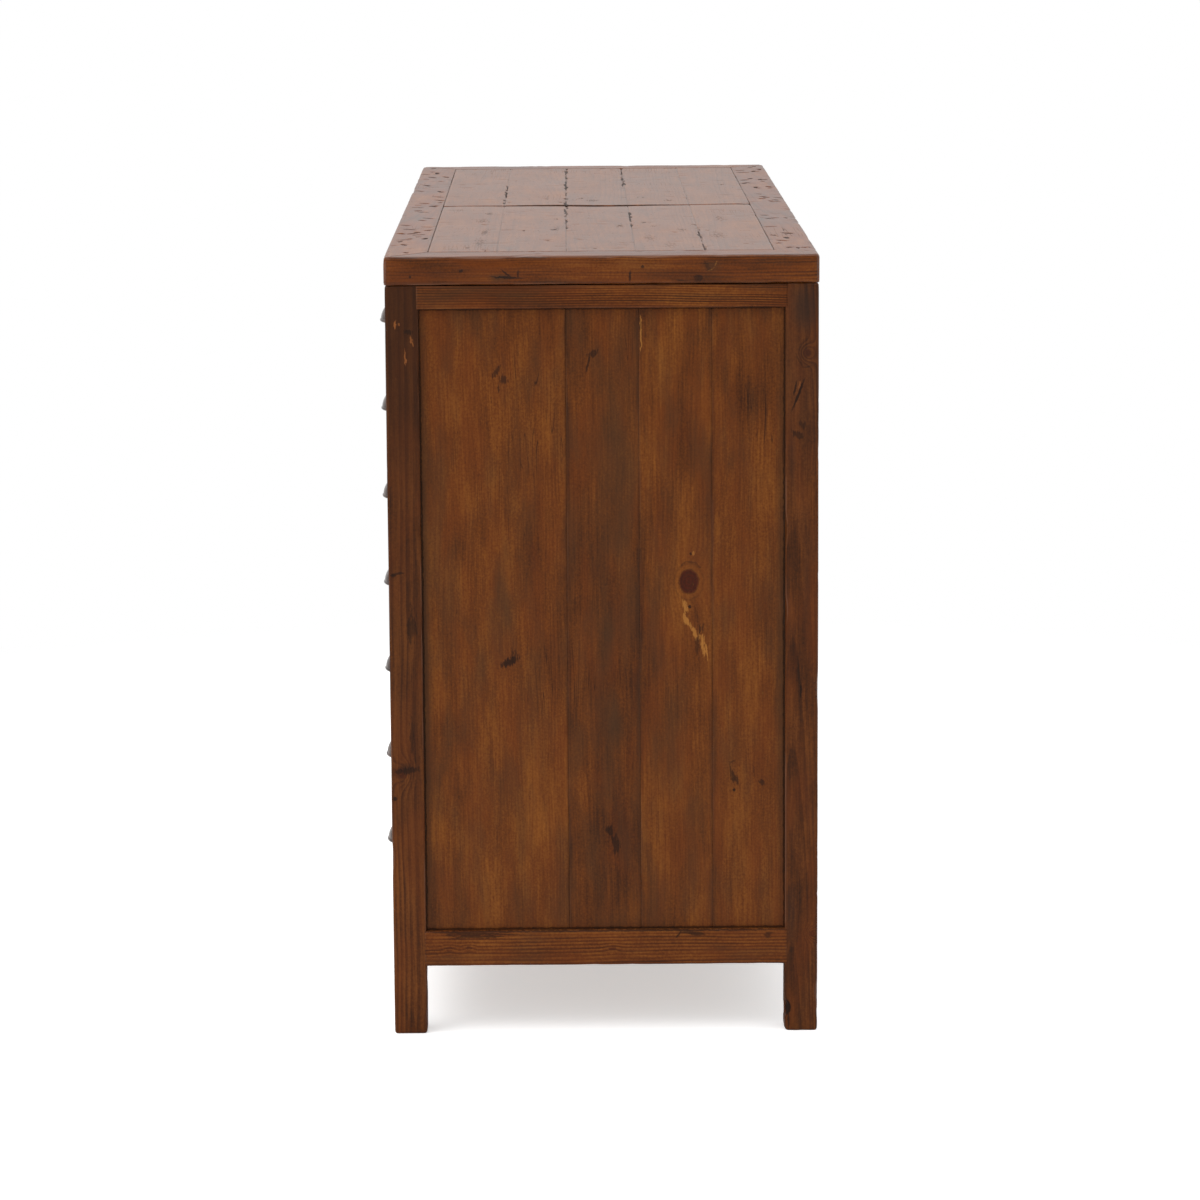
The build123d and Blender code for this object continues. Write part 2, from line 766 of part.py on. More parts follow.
# One drawer and one pull for every opening, rows counted from the top
for column_name, column_x in zip(column_names, column_places):
    for row, floor_z in enumerate(floor_heights, start=1):
        drawer_place = Location((column_x, front_y, floor_z))
        pull_place = Location((column_x, front_y, floor_z + pull_place_z))
        write_node(f"drawer_{column_name}_{row}", [piece.moved(drawer_place) for piece in drawer_pieces])
        write_node(f"pull_{column_name}_{row}", [piece.moved(pull_place) for piece in pull_pieces])
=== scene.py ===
import math

import bmesh
import bpy
import numpy as np
from mathutils import Matrix, Vector


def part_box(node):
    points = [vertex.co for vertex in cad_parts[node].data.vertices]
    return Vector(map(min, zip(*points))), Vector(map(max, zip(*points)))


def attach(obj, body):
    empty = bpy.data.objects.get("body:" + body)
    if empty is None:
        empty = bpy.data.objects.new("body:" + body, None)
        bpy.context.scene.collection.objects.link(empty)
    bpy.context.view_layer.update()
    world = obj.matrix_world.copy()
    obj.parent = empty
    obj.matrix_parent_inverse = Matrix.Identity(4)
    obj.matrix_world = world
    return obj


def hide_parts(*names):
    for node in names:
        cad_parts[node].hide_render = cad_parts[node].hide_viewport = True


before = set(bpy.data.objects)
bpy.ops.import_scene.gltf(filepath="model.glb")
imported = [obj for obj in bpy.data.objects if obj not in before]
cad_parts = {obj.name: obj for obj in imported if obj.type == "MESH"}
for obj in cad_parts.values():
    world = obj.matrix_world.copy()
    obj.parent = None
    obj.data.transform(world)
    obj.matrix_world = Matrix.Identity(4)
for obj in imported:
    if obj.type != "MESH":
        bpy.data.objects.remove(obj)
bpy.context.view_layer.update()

scene = bpy.context.scene
scene.view_settings.view_transform = "Standard"
mm = 0.001


# Small helpers for node trees

def tint(red, green, blue):  # a colour as a screen shows it, 0 to 255, turned into light
    shares = [value / 255 for value in (red, green, blue)]
    light = [s / 12.92 if s <= 0.04045 else ((s + 0.055) / 1.055) ** 2.4 for s in shares]
    return (*light, 1.0)


def feed(tree, source, target):  # a wire is linked, anything else is set on the socket
    if isinstance(source, Wire):
        tree.links.new(source.socket, target)
    else:
        target.default_value = source


def addNode(tree, kind, values=None, output=0, **settings):
    node = tree.nodes.new(kind)
    for key, value in settings.items():
        setattr(node, key, value)
    for key, value in (values or {}).items():
        feed(tree, value, node.inputs[key])
    return Wire(tree, node.outputs[output]) if len(node.outputs) else node


class Wire:  # an output socket that can be used in sums
    def __init__(self, tree, socket):
        self.tree = tree
        self.socket = socket

    def math(self, operation, *others):
        values = dict(enumerate((self, *others)))
        return addNode(self.tree, "ShaderNodeMath", values, operation=operation)

    def __add__(self, other):
        return self.math("ADD", other)

    def __sub__(self, other):
        return self.math("SUBTRACT", other)

    def __mul__(self, other):
        return self.math("MULTIPLY", other)

    def __truediv__(self, other):
        return self.math("DIVIDE", other)

    def flip(self):  # one minus this
        return addNode(self.tree, "ShaderNodeMath", {0: 1.0, 1: self}, operation="SUBTRACT")

    def vector(self, operation, *others, output=0):
        values = dict(enumerate((self, *others)))
        return addNode(self.tree, "ShaderNodeVectorMath", values, output, operation=operation)

    def scaled(self, factor):
        values = {0: self, "Scale": factor}
        return addNode(self.tree, "ShaderNodeVectorMath", values, operation="SCALE")

    def parts(self):
        node = self.tree.nodes.new("ShaderNodeSeparateXYZ")
        feed(self.tree, self, node.inputs[0])
        return [Wire(self.tree, socket) for socket in node.outputs]

    def smooth(self, low, high):  # 0 below low, 1 above high, eased between
        values = {0: self, 1: low, 2: high}
        return addNode(self.tree, "ShaderNodeMapRange", values, interpolation_type="SMOOTHSTEP")


def combine(tree, x, y, z):
    return addNode(tree, "ShaderNodeCombineXYZ", {0: x, 1: y, 2: z})


def noise(tree, vector, scale, detail=2.0, roughness=0.5, output=0):
    values = {"Vector": vector, "Scale": scale, "Detail": detail, "Roughness": roughness}
    return addNode(tree, "ShaderNodeTexNoise", values, output)


def mixColour(tree, factor, first, second, blend="MIX"):
    node = tree.nodes.new("ShaderNodeMix")
    node.data_type = "RGBA"
    node.blend_type = blend
    for index, value in ((0, factor), (6, first), (7, second)):
        feed(tree, value, node.inputs[index])
    return Wire(tree, node.outputs[2])


def ramp(tree, factor, stops):
    node = tree.nodes.new("ShaderNodeValToRGB")
    elements = node.color_ramp.elements
    while len(elements) < len(stops):
        elements.new(0.5)
    for element, (place, colour) in zip(elements, stops):
        element.position = place
        element.color = colour
    feed(tree, factor, node.inputs[0])
    return Wire(tree, node.outputs[0])


def startTree(name, sockets):  # a geometry tree and what it is given, as wires
    tree = bpy.data.node_groups.new(name, "GeometryNodeTree")
    for word, kind in sockets:
        tree.interface.new_socket(word, in_out="INPUT", socket_type="NodeSocket" + kind)
    tree.interface.new_socket("Geometry", in_out="OUTPUT", socket_type="NodeSocketGeometry")
    group = tree.nodes.new("NodeGroupInput")
    return tree, {word: Wire(tree, group.outputs[word]) for word, kind in sockets}


def inputIds(tree):
    items = [item for item in tree.interface.items_tree if item.item_type == "SOCKET"]
    return {item.name: item.identifier for item in items if item.in_out == "INPUT"}


def holdTree(tree, ids, mesh, values):  # an object that stays only until its tree is evaluated
    holder = bpy.data.objects.new(tree.name, mesh)
    scene.collection.objects.link(holder)
    modifier = holder.modifiers.new(tree.name, "NODES")
    modifier.node_group = tree
    for word, value in values.items():
        modifier[ids[word]] = value
    return holder


def freezeHolders(holders):  # the meshes that the trees make, after which the holders are gone
    bpy.context.view_layer.update()
    depsgraph = bpy.context.evaluated_depsgraph_get()
    meshes = [bpy.data.meshes.new_from_object(holder.evaluated_get(depsgraph)) for holder in holders]
    for holder in holders:
        bpy.data.objects.remove(holder)
    return meshes


def picker(draw, ranges):  # draws from a range by its name
    return lambda word: draw.uniform(*ranges[word])


def startMaterial(name):
    material = bpy.data.materials.new(name)
    material.use_nodes = True
    tree = material.node_tree
    tree.nodes.clear()
    shader = tree.nodes.new("ShaderNodeBsdfPrincipled")
    output = tree.nodes.new("ShaderNodeOutputMaterial")
    tree.links.new(shader.outputs[0], output.inputs[0])
    return material, tree, shader


# Pine: growth rings around a pith, fibres, blotchy stain, worn edges with painted highlights, painted shade
# where boards run under rails and beside posts, knots and scars

pineFinish = {  # colours as a screen shows them, sizes in metres
    "dark": tint(62, 32, 14),
    "middle": tint(102, 54, 19),
    "light": tint(138, 82, 30),
    "russet": tint(106, 51, 18),
    "smoke": tint(68, 45, 27),
    "ink": tint(30, 20, 15),
    "bare": tint(156, 102, 46),
    "rub": tint(120, 82, 62),
    "knotHeart": tint(64, 20, 14),
    "ringSpacing": 0.0034,
    "ringDrift": 2.4,
    "ringDepth": 0.30,
    "patchDepth": 0.70,
    "cloudDepth": 0.80,
    "fibreDepth": 0.50,
    "strandDepth": 0.34,
    "gritDepth": 0.65,
    "russetAmount": 0.35,
    "smokeAmount": 0.5,
    "sweep": 0.012,
    "seamWidth": 0.005,
    "seamDepth": 0.35,
    "rubWidth": 0.0022,
    "rubAmount": 0.5,
    "checkAmount": 0.8,
    "knotAmount": 0.6,
    "knotSwirl": 3.4,
    "roughness": 0.40,
    "glossDepth": 0.18,
    "specular": 0.1,
}

noKnot = 9.0  # distance from a knot where there is none, in its radii
pineScale = {  # waves to the metre of each texture, along and across the grain
    "wander": (1.2, 8.0), "sweep": (3.1, 9.0), "fibre": (28.0, 640.0), "strand": (9.0, 210.0),
    "patches": (13.0, 48.0), "cloud": (5.2, 12.0), "handling": (16.0, 60.0), "thread": (5.0, 150.0),
    "feather": (80.0, 460.0), "wobble": 190.0, "grit": 400.0, "checks": 9.0, "worms": 42.0, "torn": 260.0,
}


def spot(tree, place, centre, size, angle=0.0, axis=0):  # distance from an oval's middle, 1 at its rim
    turn = [0.0, 0.0, 0.0]
    turn[axis] = math.radians(angle)
    values = {
        "Vector": place,
        "Location": [value * mm for value in centre],
        "Rotation": turn,
        "Scale": [value * mm for value in size],
    }
    inside = addNode(tree, "ShaderNodeMapping", values, vector_type="TEXTURE")
    return inside.vector("LENGTH", output=1)


def pineMaterial(name, marks=None, plain=False, **changes):
    look = {**pineFinish, **changes}
    material, tree, shader = startMaterial(name)
    place = addNode(tree, "ShaderNodeTexCoord", output=3)
    if plain:  # a CAD node has no stored values, and its grain runs along y
        x, y, z = place.parts()
        along, across, deep = y, x + 0.031, z + 0.047
        tone = x * 0.0
        edge = tone + 0.02
        knot = tone + noKnot
        mark = tone
    else:
        grain = addNode(tree, "ShaderNodeAttribute", output=1, attribute_name="grain")
        along, across, deep = grain.parts()
        tone, edge, knot, mark = [
            addNode(tree, "ShaderNodeAttribute", output=2, attribute_name=word)
            for word in ("tone", "edgeDist", "knot", "mark")
        ]

    def streaks(word, detail, roughness=0.5, output=0):  # noise drawn out along the grain
        alongScale, acrossScale = pineScale[word]
        vector = combine(tree, along * alongScale, across * acrossScale, deep * acrossScale)
        return noise(tree, vector, 1.0, detail, roughness, output)

    wander = streaks("wander", 2.0)
    sweep = streaks("sweep", 2.0)
    across = across + (sweep - 0.5) * look["sweep"]
    wobble = noise(tree, place, pineScale["wobble"], 3.0, 0.65, 1).vector("SUBTRACT", (0.5, 0.5, 0.5))
    ragged = place.vector("ADD", wobble.scaled(0.004))

    knotPull = (knot * knot * -0.30).math("EXPONENT")
    for centre, size, axis in (marks or {}).get("knots", []):
        far = spot(tree, place, centre, size, 0.0, axis)
        knot = knot.math("MINIMUM", far + wobble.parts()[1] * 0.34)
        knotPull = knotPull.math("MAXIMUM", (far * far * -0.22).math("EXPONENT"))

    radius = (across * across + deep * deep).math("SQRT")
    rings = radius / look["ringSpacing"] + (wander - 0.5) * look["ringDrift"] + knotPull * look["knotSwirl"]
    turn = rings.math("FRACT")
    late = turn.smooth(0.20, 0.84) * turn.smooth(0.88, 1.0).flip()
    uneven = noise(tree, combine(tree, rings * 0.37, along * 0.9, 0.0), 1.0, 1.0)
    late = late * uneven.smooth(0.25, 0.70)

    fibre = streaks("fibre", 2.0, 0.65)
    strand = streaks("strand", 2.0, 0.6)
    grit = noise(tree, place, pineScale["grit"], 3.0, 0.65)
    patches = streaks("patches", 3.0, 0.5, 1).parts()
    cloud = streaks("cloud", 4.0, 0.6)
    shade = tone + 0.5 + (patches[0] - 0.5) * look["patchDepth"] + (cloud - 0.5) * look["cloudDepth"]
    shade = shade + (fibre - 0.5) * look["fibreDepth"] + (strand - 0.5) * look["strandDepth"]
    shade = shade + (grit - 0.5) * look["gritDepth"] - late * look["ringDepth"]
    colour = ramp(tree, shade, [(0.08, look["dark"]), (0.5, look["middle"]), (0.94, look["light"])])
    colour = mixColour(tree, patches[1].smooth(0.40, 0.68) * look["russetAmount"], colour, look["russet"])
    smoke = (patches[2] - tone * 0.8).smooth(0.42, 0.76) * look["smokeAmount"]
    colour = mixColour(tree, smoke, colour, look["smoke"])

    # darker where boards meet: stain in the joints, with painted shade where a board runs under a rail or
    # beside a post; wear makes the arrises pale, and that pale line is also a painted highlight on them
    seam = (edge + (cloud - 0.5) * 0.012).smooth(0.0, look["seamWidth"]).flip()
    colour = mixColour(tree, seam * look["seamDepth"], colour, look["ink"])
    patchyRub = streaks("handling", 3.0).smooth(0.42, 0.60)
    rub = edge.smooth(0.0005, look["rubWidth"]).flip() * patchyRub * look["rubAmount"]
    colour = mixColour(tree, rub, colour, look["rub"])

    # knots: dark heart, reddish ring around it
    heart = knot.smooth(0.88, 1.06).flip() * look["knotAmount"]
    bark = (knot - 1.02).math("ABSOLUTE").smooth(0.0, 0.12).flip()
    outer = (knot - 1.5).math("ABSOLUTE").smooth(0.0, 0.16).flip() * cloud.smooth(0.42, 0.6)
    halo = knot.smooth(1.0, 2.2).flip() * heart.flip() * look["knotAmount"]
    colour = mixColour(tree, halo * 0.15, colour, look["light"])
    heartRings = (knot * 19.0 + (grit - 0.5) * 9.0).math("SINE") * 0.5 + 0.5
    heartColour = mixColour(tree, heartRings * 0.5, look["knotHeart"], look["ink"])
    colour = mixColour(tree, heart * 0.95, colour, heartColour)
    colour = mixColour(tree, (bark * 0.4 + outer * 0.25) * look["knotAmount"], colour, look["ink"])

    # scars: fine checks along the grain, worm holes, and the marks of this piece
    thread = streaks("thread", 1.0)
    crack = (thread - 0.5).math("ABSOLUTE").smooth(0.0, 0.014).flip()
    crack = crack * noise(tree, place, pineScale["checks"], 2.0).smooth(0.58, 0.70) * look["checkAmount"]
    holes = tree.nodes.new("ShaderNodeTexVoronoi")
    feed(tree, place, holes.inputs["Vector"])
    holes.inputs["Scale"].default_value = pineScale["worms"]
    chance = Wire(tree, holes.outputs["Color"]).parts()[0]
    worm = Wire(tree, holes.outputs["Distance"]).smooth(0.035, 0.060).flip() * chance.smooth(0.90, 0.91)
    rough = noise(tree, place, pineScale["torn"], 3.0, 0.7)
    scar = (mark + (rough - 0.5) * 0.7).smooth(0.38, 0.56)
    dark = crack.math("MAXIMUM", worm).math("MAXIMUM", scar)
    raw = tone * 0.0  # nothing torn out yet
    feather = streaks("feather", 3.0, 0.65)
    shadow = None
    for kind, centre, size, angle, axis, strength in (marks or {}).get("spots", []):
        shape = spot(tree, ragged, centre, size, angle, axis)
        # shade marks darken towards the smoke colour: smoky stains, the end posts darker towards their tops,
        # and stain with painted shade along the end panel beside its posts
        if kind == "shade":
            shape = shape.smooth(0.1, 1.0).flip() * strength
            shadow = shape if shadow is None else shadow.math("MAXIMUM", shape)
        elif kind == "smudge":  # feathered out along the fibres
            shape = (shape.smooth(0.0, 2.2).flip() + (feather - 0.5) * 2.2).smooth(0.34, 0.72)
            dark = dark.math("MAXIMUM", shape * strength)
        elif kind == "fleck":  # a stain broken up into short streaks
            shape = (shape.smooth(0.0, 1.7).flip() * 0.6 + (feather - 0.5) * 2.4).smooth(0.34, 0.80)
            dark = dark.math("MAXIMUM", shape * strength)
        elif kind == "line":
            dark = dark.math("MAXIMUM", shape.smooth(0.7, 1.5).flip() * strength)
        else:  # splinters torn out of the surface
            shape = (shape.smooth(0.1, 1.9).flip() + (feather - 0.5) * 2.6).smooth(0.45, 0.80)
            raw = raw.math("MAXIMUM", shape * strength)
    if shadow is not None:
        colour = mixColour(tree, shadow, colour, look["smoke"])
    colour = mixColour(tree, raw, colour, look["bare"])
    colour = mixColour(tree, dark * 0.86, colour, look["ink"])
    feed(tree, colour, shader.inputs["Base Color"])

    gloss = (cloud - 0.5) * look["glossDepth"] + dark * 0.25 + raw * 0.2 + look["roughness"]
    feed(tree, gloss, shader.inputs["Roughness"])
    shader.inputs["Specular IOR Level"].default_value = look["specular"]
    height = late * 0.45 + fibre * 0.55 + strand * 0.4 - dark * 1.4 - raw * 0.8 - heart * 0.3
    values = {"Strength": 0.32, "Distance": 0.0007, "Height": height}
    feed(tree, addNode(tree, "ShaderNodeBump", values), shader.inputs["Normal"])
    return material


slab = {  # the top in millimetres
    "x": 660.0, "frontY": -221.5, "backY": 235.5, "z": (808.0, 838.0),
    "fieldX": 605.0, "fieldY": (-176.5, 190.5), "boardZ": 820.0, "boards": 5, "gap": 0.7,
    "battenX": (-212.0, 0.0, 212.0), "battenHalf": 25.0, "battenPlay": 0.3,
}

faceX = 652.0  # front of the photographed end's panel
postX = 659.0  # front of its posts and rails
slabX = slab["x"]
topZ = slab["z"][1]
wide = 400.0  # a mark has this reach through its board


def faceMarks(x, knots=(), **kinds):  # rows of y, z, half sizes, turn and strength on an upright face
    spots = [
        (kind, (x, y, z), (wide, halfY, halfZ), turn, 0, strength)
        for kind, rows in kinds.items()
        for y, z, halfY, halfZ, turn, strength in rows
    ]
    return {"knots": [((x, y, z), (wide, halfY, halfZ), 0) for y, z, halfY, halfZ in knots], "spots": spots}


endPanelMarks = faceMarks(
    faceX,
    knots=[
        (97.5, 490.8, 10.4, 12.8),
    ],
    smudge=[
        (-104.3, 716.2, 2.6, 6.3, -33, 0.75), (-96.0, 707.2, 3.8, 4.2, 3, 0.75),
        (-2.2, 734.7, 3.0, 5.6, -53, 0.75), (-92.9, 405.8, 3.6, 9.7, -62, 0.95),
        (13.1, 221.1, 4.0, 4.9, 2, 0.85), (18.2, 206.8, 3.4, 10.5, 6, 0.8),
        (145.3, 277.5, 3.4, 6.9, 18, 0.8), (175.2, 272.9, 2.2, 3.6, 44, 0.7),
        (106.6, 420.2, 2.6, 9.7, 3, 0.6),
    ],
    line=[
        (-101.9, 698.2, 0.9, 3.7, -3, 0.7), (-7.7, 724.0, 1.2, 9.2, -12, 0.85),
        (-90.0, 414.7, 0.8, 4.9, 1, 0.6), (-87.3, 413.0, 0.8, 5.4, -2, 0.6),
        (143.7, 295.8, 0.8, 2.8, -73, 0.5), (141.3, 290.6, 0.8, 4.4, 10, 0.5),
        (145.6, 264.4, 1.6, 1.7, 0, 1.0), (166.6, 285.0, 0.9, 6.6, 9, 0.4),
        (109.0, 439.6, 0.9, 5.4, -3, 0.7), (112.2, 440.1, 0.9, 4.9, -3, 0.6),
        (98.3, 463.7, 1.5, 1.8, 0, 1.0), (99.5, 520.9, 1.3, 1.6, 0, 0.9),
        (92.0, 509.7, 1.0, 3.4, -51, 0.45), (99.4, 511.5, 1.0, 4.8, 86, 0.45),
        # the last two marks of this list run in the corners beside the posts: the joint, with painted shade
        (107.3, 508.2, 1.0, 4.4, 47, 0.4), (-184.9, 448.0, 1.0, 400.0, 0, 0.8),
        (198.9, 448.0, 1.0, 400.0, 0, 0.8),
    ],
    bare=[
        (93.4, 462.9, 2.4, 8.2, 7, 0.9), (96.0, 448.8, 2.8, 9.2, 27, 0.9),
        (103.7, 434.5, 2.4, 8.1, 13, 0.9), (113.5, 419.8, 3.6, 14.3, 15, 0.95),
        (102.6, 520.9, 2.6, 2.6, 90, 0.55), (48.0, 761.0, 1.2, 22.0, 0, 0.8),
    ],
    shade=[
        (23.0, 625.0, 22.0, 95.0, 6, 0.60), (31.0, 560.0, 16.0, 75.0, -8, 0.50),
        (17.0, 345.0, 13.0, 46.0, 4, 0.60), (-99.0, 470.0, 13.0, 64.0, 10, 0.50),
        (-123.0, 400.0, 10.0, 38.0, 0, 0.50), (11.0, 430.0, 10.0, 55.0, 0, 0.45),
        # stain with painted shade along the panel's edges beside the posts
        (-186.0, 448.0, 14.0, 520.0, 0, 0.75), (200.0, 448.0, 15.0, 520.0, 0, 0.75),
    ],
)
# dark lines along the rails above and below each board: dirt, and painted shade under the top rail and in the
# corner above the bottom rail
railDirtAndShade = {"boardY": (-108.5, 7.0, 84.0, 161.0), "heights": (782.2, 113.8), "size": (wide, 120.0, 1.1)}
for boardY in railDirtAndShade["boardY"]:  # along the rails above and below each board
    for height in railDirtAndShade["heights"]:
        endPanelMarks["spots"].append(("line", (faceX, boardY, height), railDirtAndShade["size"], 0, 0, 0.75))

frontPostMarks = faceMarks(
    postX,
    knots=[
        (-208.0, 287.3, 4.5, 6.5),
    ],
    shade=[
        (-203.0, 800.0, 70.0, 380.0, 0, 0.75), (-203.0, 420.0, 70.0, 400.0, 0, 0.28),
        (-205.0, 790.0, 16.0, 34.0, 0, 0.7), (-199.0, 640.0, 5.0, 60.0, 2, 0.35),
        (-212.0, 560.0, 5.0, 80.0, 0, 0.35), (-197.0, 400.0, 6.0, 70.0, 0, 0.35),
        (-205.0, 292.0, 14.0, 11.0, 0, 0.7),
    ],
    bare=[
        (-209.8, 767.8, 1.4, 5.3, 3, 0.8), (-205.7, 767.3, 1.2, 2.6, 5, 0.6),
        (-199.5, 731.0, 1.3, 9.0, 0, 0.7), (-192.4, 748.8, 1.2, 6.4, 11, 0.6),
    ],
    smudge=[
        (-196.2, 759.3, 2.4, 4.3, 75, 0.7), (-196.8, 445.3, 4.0, 16.2, -3, 0.7),
        (-198.0, 326.0, 2.0, 16.0, 0, 0.6), (-203.0, 290.0, 13.0, 3.0, 8, 0.7),
    ],
    line=[
        (-215.1, 501.2, 1.7, 2.9, -65, 0.9), (-208.7, 502.9, 1.1, 4.8, -84, 0.7),
        (-216.9, 259.0, 1.9, 2.2, 13, 0.95),
    ],
)

backPostMarks = faceMarks(
    postX,
    knots=[
        (222.3, 734.2, 4.0, 4.6), (228.6, 107.6, 3.2, 3.4),
    ],
    shade=[
        (219.0, 782.0, 26.0, 46.0, 1, 0.8), (217.0, 720.0, 60.0, 140.0, 0, 0.3),
        (207.0, 640.0, 7.0, 60.0, 0, 0.35), (222.0, 480.0, 6.0, 90.0, 0, 0.25),
        (206.0, 130.0, 8.0, 50.0, 0, 0.4),
    ],
    line=[
        (213.4, 691.0, 1.1, 16.0, -21, 1.0), (210.0, 697.0, 0.9, 7.2, -9, 0.9),
        (216.3, 373.6, 1.0, 7.0, 0, 0.8), (214.7, 725.3, 0.9, 6.6, 28, 0.5),
        (222.6, 719.9, 0.9, 4.8, -84, 0.5), (203.4, 14.0, 0.9, 11.0, 0, 0.85),
    ],
    bare=[
        (214.5, 701.0, 1.3, 5.0, -22, 0.4),
    ],
    smudge=[
        (217.4, 658.6, 2.6, 4.6, 35, 0.6), (213.3, 647.5, 3.0, 6.6, 61, 0.7),
    ],
)

endRailMarks = faceMarks(
    postX,
    knots=[
        (-161.0, 93.8, 3.6, 3.0), (-139.5, 94.6, 3.0, 2.6), (14.0, 93.0, 4.0, 2.8),
    ],
    line=[
        (7.0, 112.4, 210.0, 0.8, 0, 0.75), (-130.0, 110.6, 46.0, 0.9, -2, 0.75),
        (86.0, 108.8, 1.0, 5.8, -40, 0.8),
    ],
    smudge=[
        (-136.0, 108.0, 24.0, 2.6, -2, 0.75), (100.0, 109.5, 13.0, 2.4, -8, 0.75),
        (181.0, 107.0, 4.0, 3.0, 0, 0.6),
    ],
)

slabMarks = faceMarks(
    slabX,
    line=[
        (-92.0, 815.8, 14.0, 1.1, -3, 1.0), (-92.5, 819.6, 6.2, 0.9, -39, 0.9),
        (-80.2, 819.0, 0.9, 4.0, 0, 0.8), (-139.9, 823.0, 1.6, 1.6, 0, 0.9),
        (-193.2, 817.1, 1.3, 1.3, 0, 0.9), (50.3, 825.9, 1.5, 1.4, 0, 0.9), (36.7, 816.0, 1.1, 5.0, 0, 0.9),
    ],
    shade=[
        (-101.0, 815.5, 17.0, 6.5, 0, 0.7), (122.0, 826.0, 15.0, 9.0, 0, 0.6),
    ],
    smudge=[
        (118.0, 826.0, 2.2, 6.0, 30, 0.5), (109.0, 815.0, 3.4, 3.6, 0, 0.7),
    ],
    bare=[
        (120.5, 822.5, 4.5, 0.9, 20, 0.35), (126.0, 828.0, 0.9, 4.5, -20, 0.3),
    ],
)

fieldStains = [  # x, y, half sizes and strength of grey stains in the top boards
    (113.0, -120.0, 21.0, 4.7, 0.6), (217.0, -125.0, 33.0, 7.3, 0.5), (370.0, -120.0, 51.0, 6.2, 0.45),
    (495.0, -123.0, 61.0, 7.4, 0.4), (351.0, -78.0, 10.0, 3.1, 0.9), (200.0, -41.0, 10.0, 2.8, 0.8),
    (324.0, -40.0, 34.0, 3.6, 0.45), (297.0, 31.0, 24.0, 5.9, 0.55), (253.0, 59.0, 12.0, 5.5, 0.7),
    (300.0, 69.0, 12.0, 4.5, 0.6), (455.0, 61.0, 45.0, 8.0, 0.35), (540.0, 83.0, 40.0, 9.0, 0.3),
    (355.0, 99.0, 21.0, 6.2, 0.5), (422.0, 137.0, 50.0, 9.6, 0.4), (360.0, 128.0, 10.0, 2.7, 0.8),
    (206.0, 147.0, 41.0, 6.9, 0.4), (-68.0, 2.0, 14.0, 9.7, 0.7), (-109.0, 63.0, 9.0, 4.9, 0.8),
    (-63.0, 94.0, 11.0, 7.7, 0.8),
]
fieldMarks = {
    "spots": [
        ("fleck", (x, y, topZ), (halfX, halfY, wide), 0, 2, strength)
        for x, y, halfX, halfY, strength in fieldStains
    ],
}

panelChanges = dict(
    ringDepth=0.07, rubAmount=0.10, seamDepth=0.3, knotAmount=0.9, sweep=0.02, smokeAmount=0.42,
)
panelPine = pineMaterial("panelPine", **panelChanges)
postChanges = dict(
    dark=tint(44, 25, 14), middle=tint(80, 42, 17), light=tint(112, 63, 26), smoke=tint(48, 34, 27),
    bare=tint(142, 84, 42), ringSpacing=0.0023, ringDrift=1.6, ringDepth=0.42, seamDepth=0.1,
    fibreDepth=0.6, strandDepth=0.55, knotAmount=0.45, smokeAmount=0.2, rubWidth=0.0016, rubAmount=0.6,
)
postPine = pineMaterial("postPine", **postChanges)
endPostPine = {
    "front": pineMaterial("frontPostPine", frontPostMarks, **{**postChanges, "smoke": tint(50, 28, 16)}),
    "back": pineMaterial("backPostPine", backPostMarks, **postChanges),
}
railChanges = dict(middle=tint(98, 50, 18), seamDepth=0.15, knotAmount=0.35, rubAmount=0.2)
railPine = pineMaterial("railPine", ringSpacing=0.0036, ringDepth=0.45, **railChanges)
lowRailPine = pineMaterial(
    "lowRailPine", endRailMarks, ringSpacing=0.0036, ringDepth=0.4, knotSwirl=0.6, **railChanges
)
highRailPine = pineMaterial("highRailPine", ringSpacing=0.0025, ringDrift=1.2, ringDepth=0.85, **railChanges)
slabChanges = dict(
    seamDepth=0.2, middle=tint(103, 52, 16), smokeAmount=0.25, glossDepth=0.08, specular=0.145,
    roughness=0.33,
)
slabPine = pineMaterial("slabPine", ringDepth=0.12, **slabChanges)
slabEndPine = pineMaterial(
    "slabEndPine", slabMarks, ringDepth=0.34, ringSpacing=0.0026, strandDepth=0.5, patchDepth=0.85,
    **slabChanges,
)
fieldPine = pineMaterial(
    "fieldPine", fieldMarks, middle=tint(107, 59, 24), ringDepth=0.08, seamDepth=0.04, rubAmount=0.0,
    russetAmount=0.1, smokeAmount=0.15, patchDepth=0.5, cloudDepth=0.5, checkAmount=0.35, glossDepth=0.06,
    specular=0.165, roughness=0.33,
)
frontPine = pineMaterial("frontPine", ringDepth=0.25, seamDepth=0.2)
boxPine = pineMaterial(
    "boxPine", dark=tint(128, 88, 54), middle=tint(170, 126, 82), light=tint(196, 154, 106),
    russet=tint(176, 130, 84), smoke=tint(150, 112, 76), rub=tint(190, 152, 110), ringDepth=0.35,
    patchDepth=0.3, cloudDepth=0.35, seamDepth=0.25, checkAmount=0.3, roughness=0.55,
)
runnerPine = pineMaterial(
    "runnerPine", plain=True, dark=tint(120, 84, 52), middle=tint(162, 120, 78), light=tint(188, 148, 102),
    russet=tint(168, 124, 80), smoke=tint(142, 106, 72), ringDepth=0.35, checkAmount=0.3, roughness=0.6,
)
print("pine: finishes made")


# Metal of the cup pulls and the screws

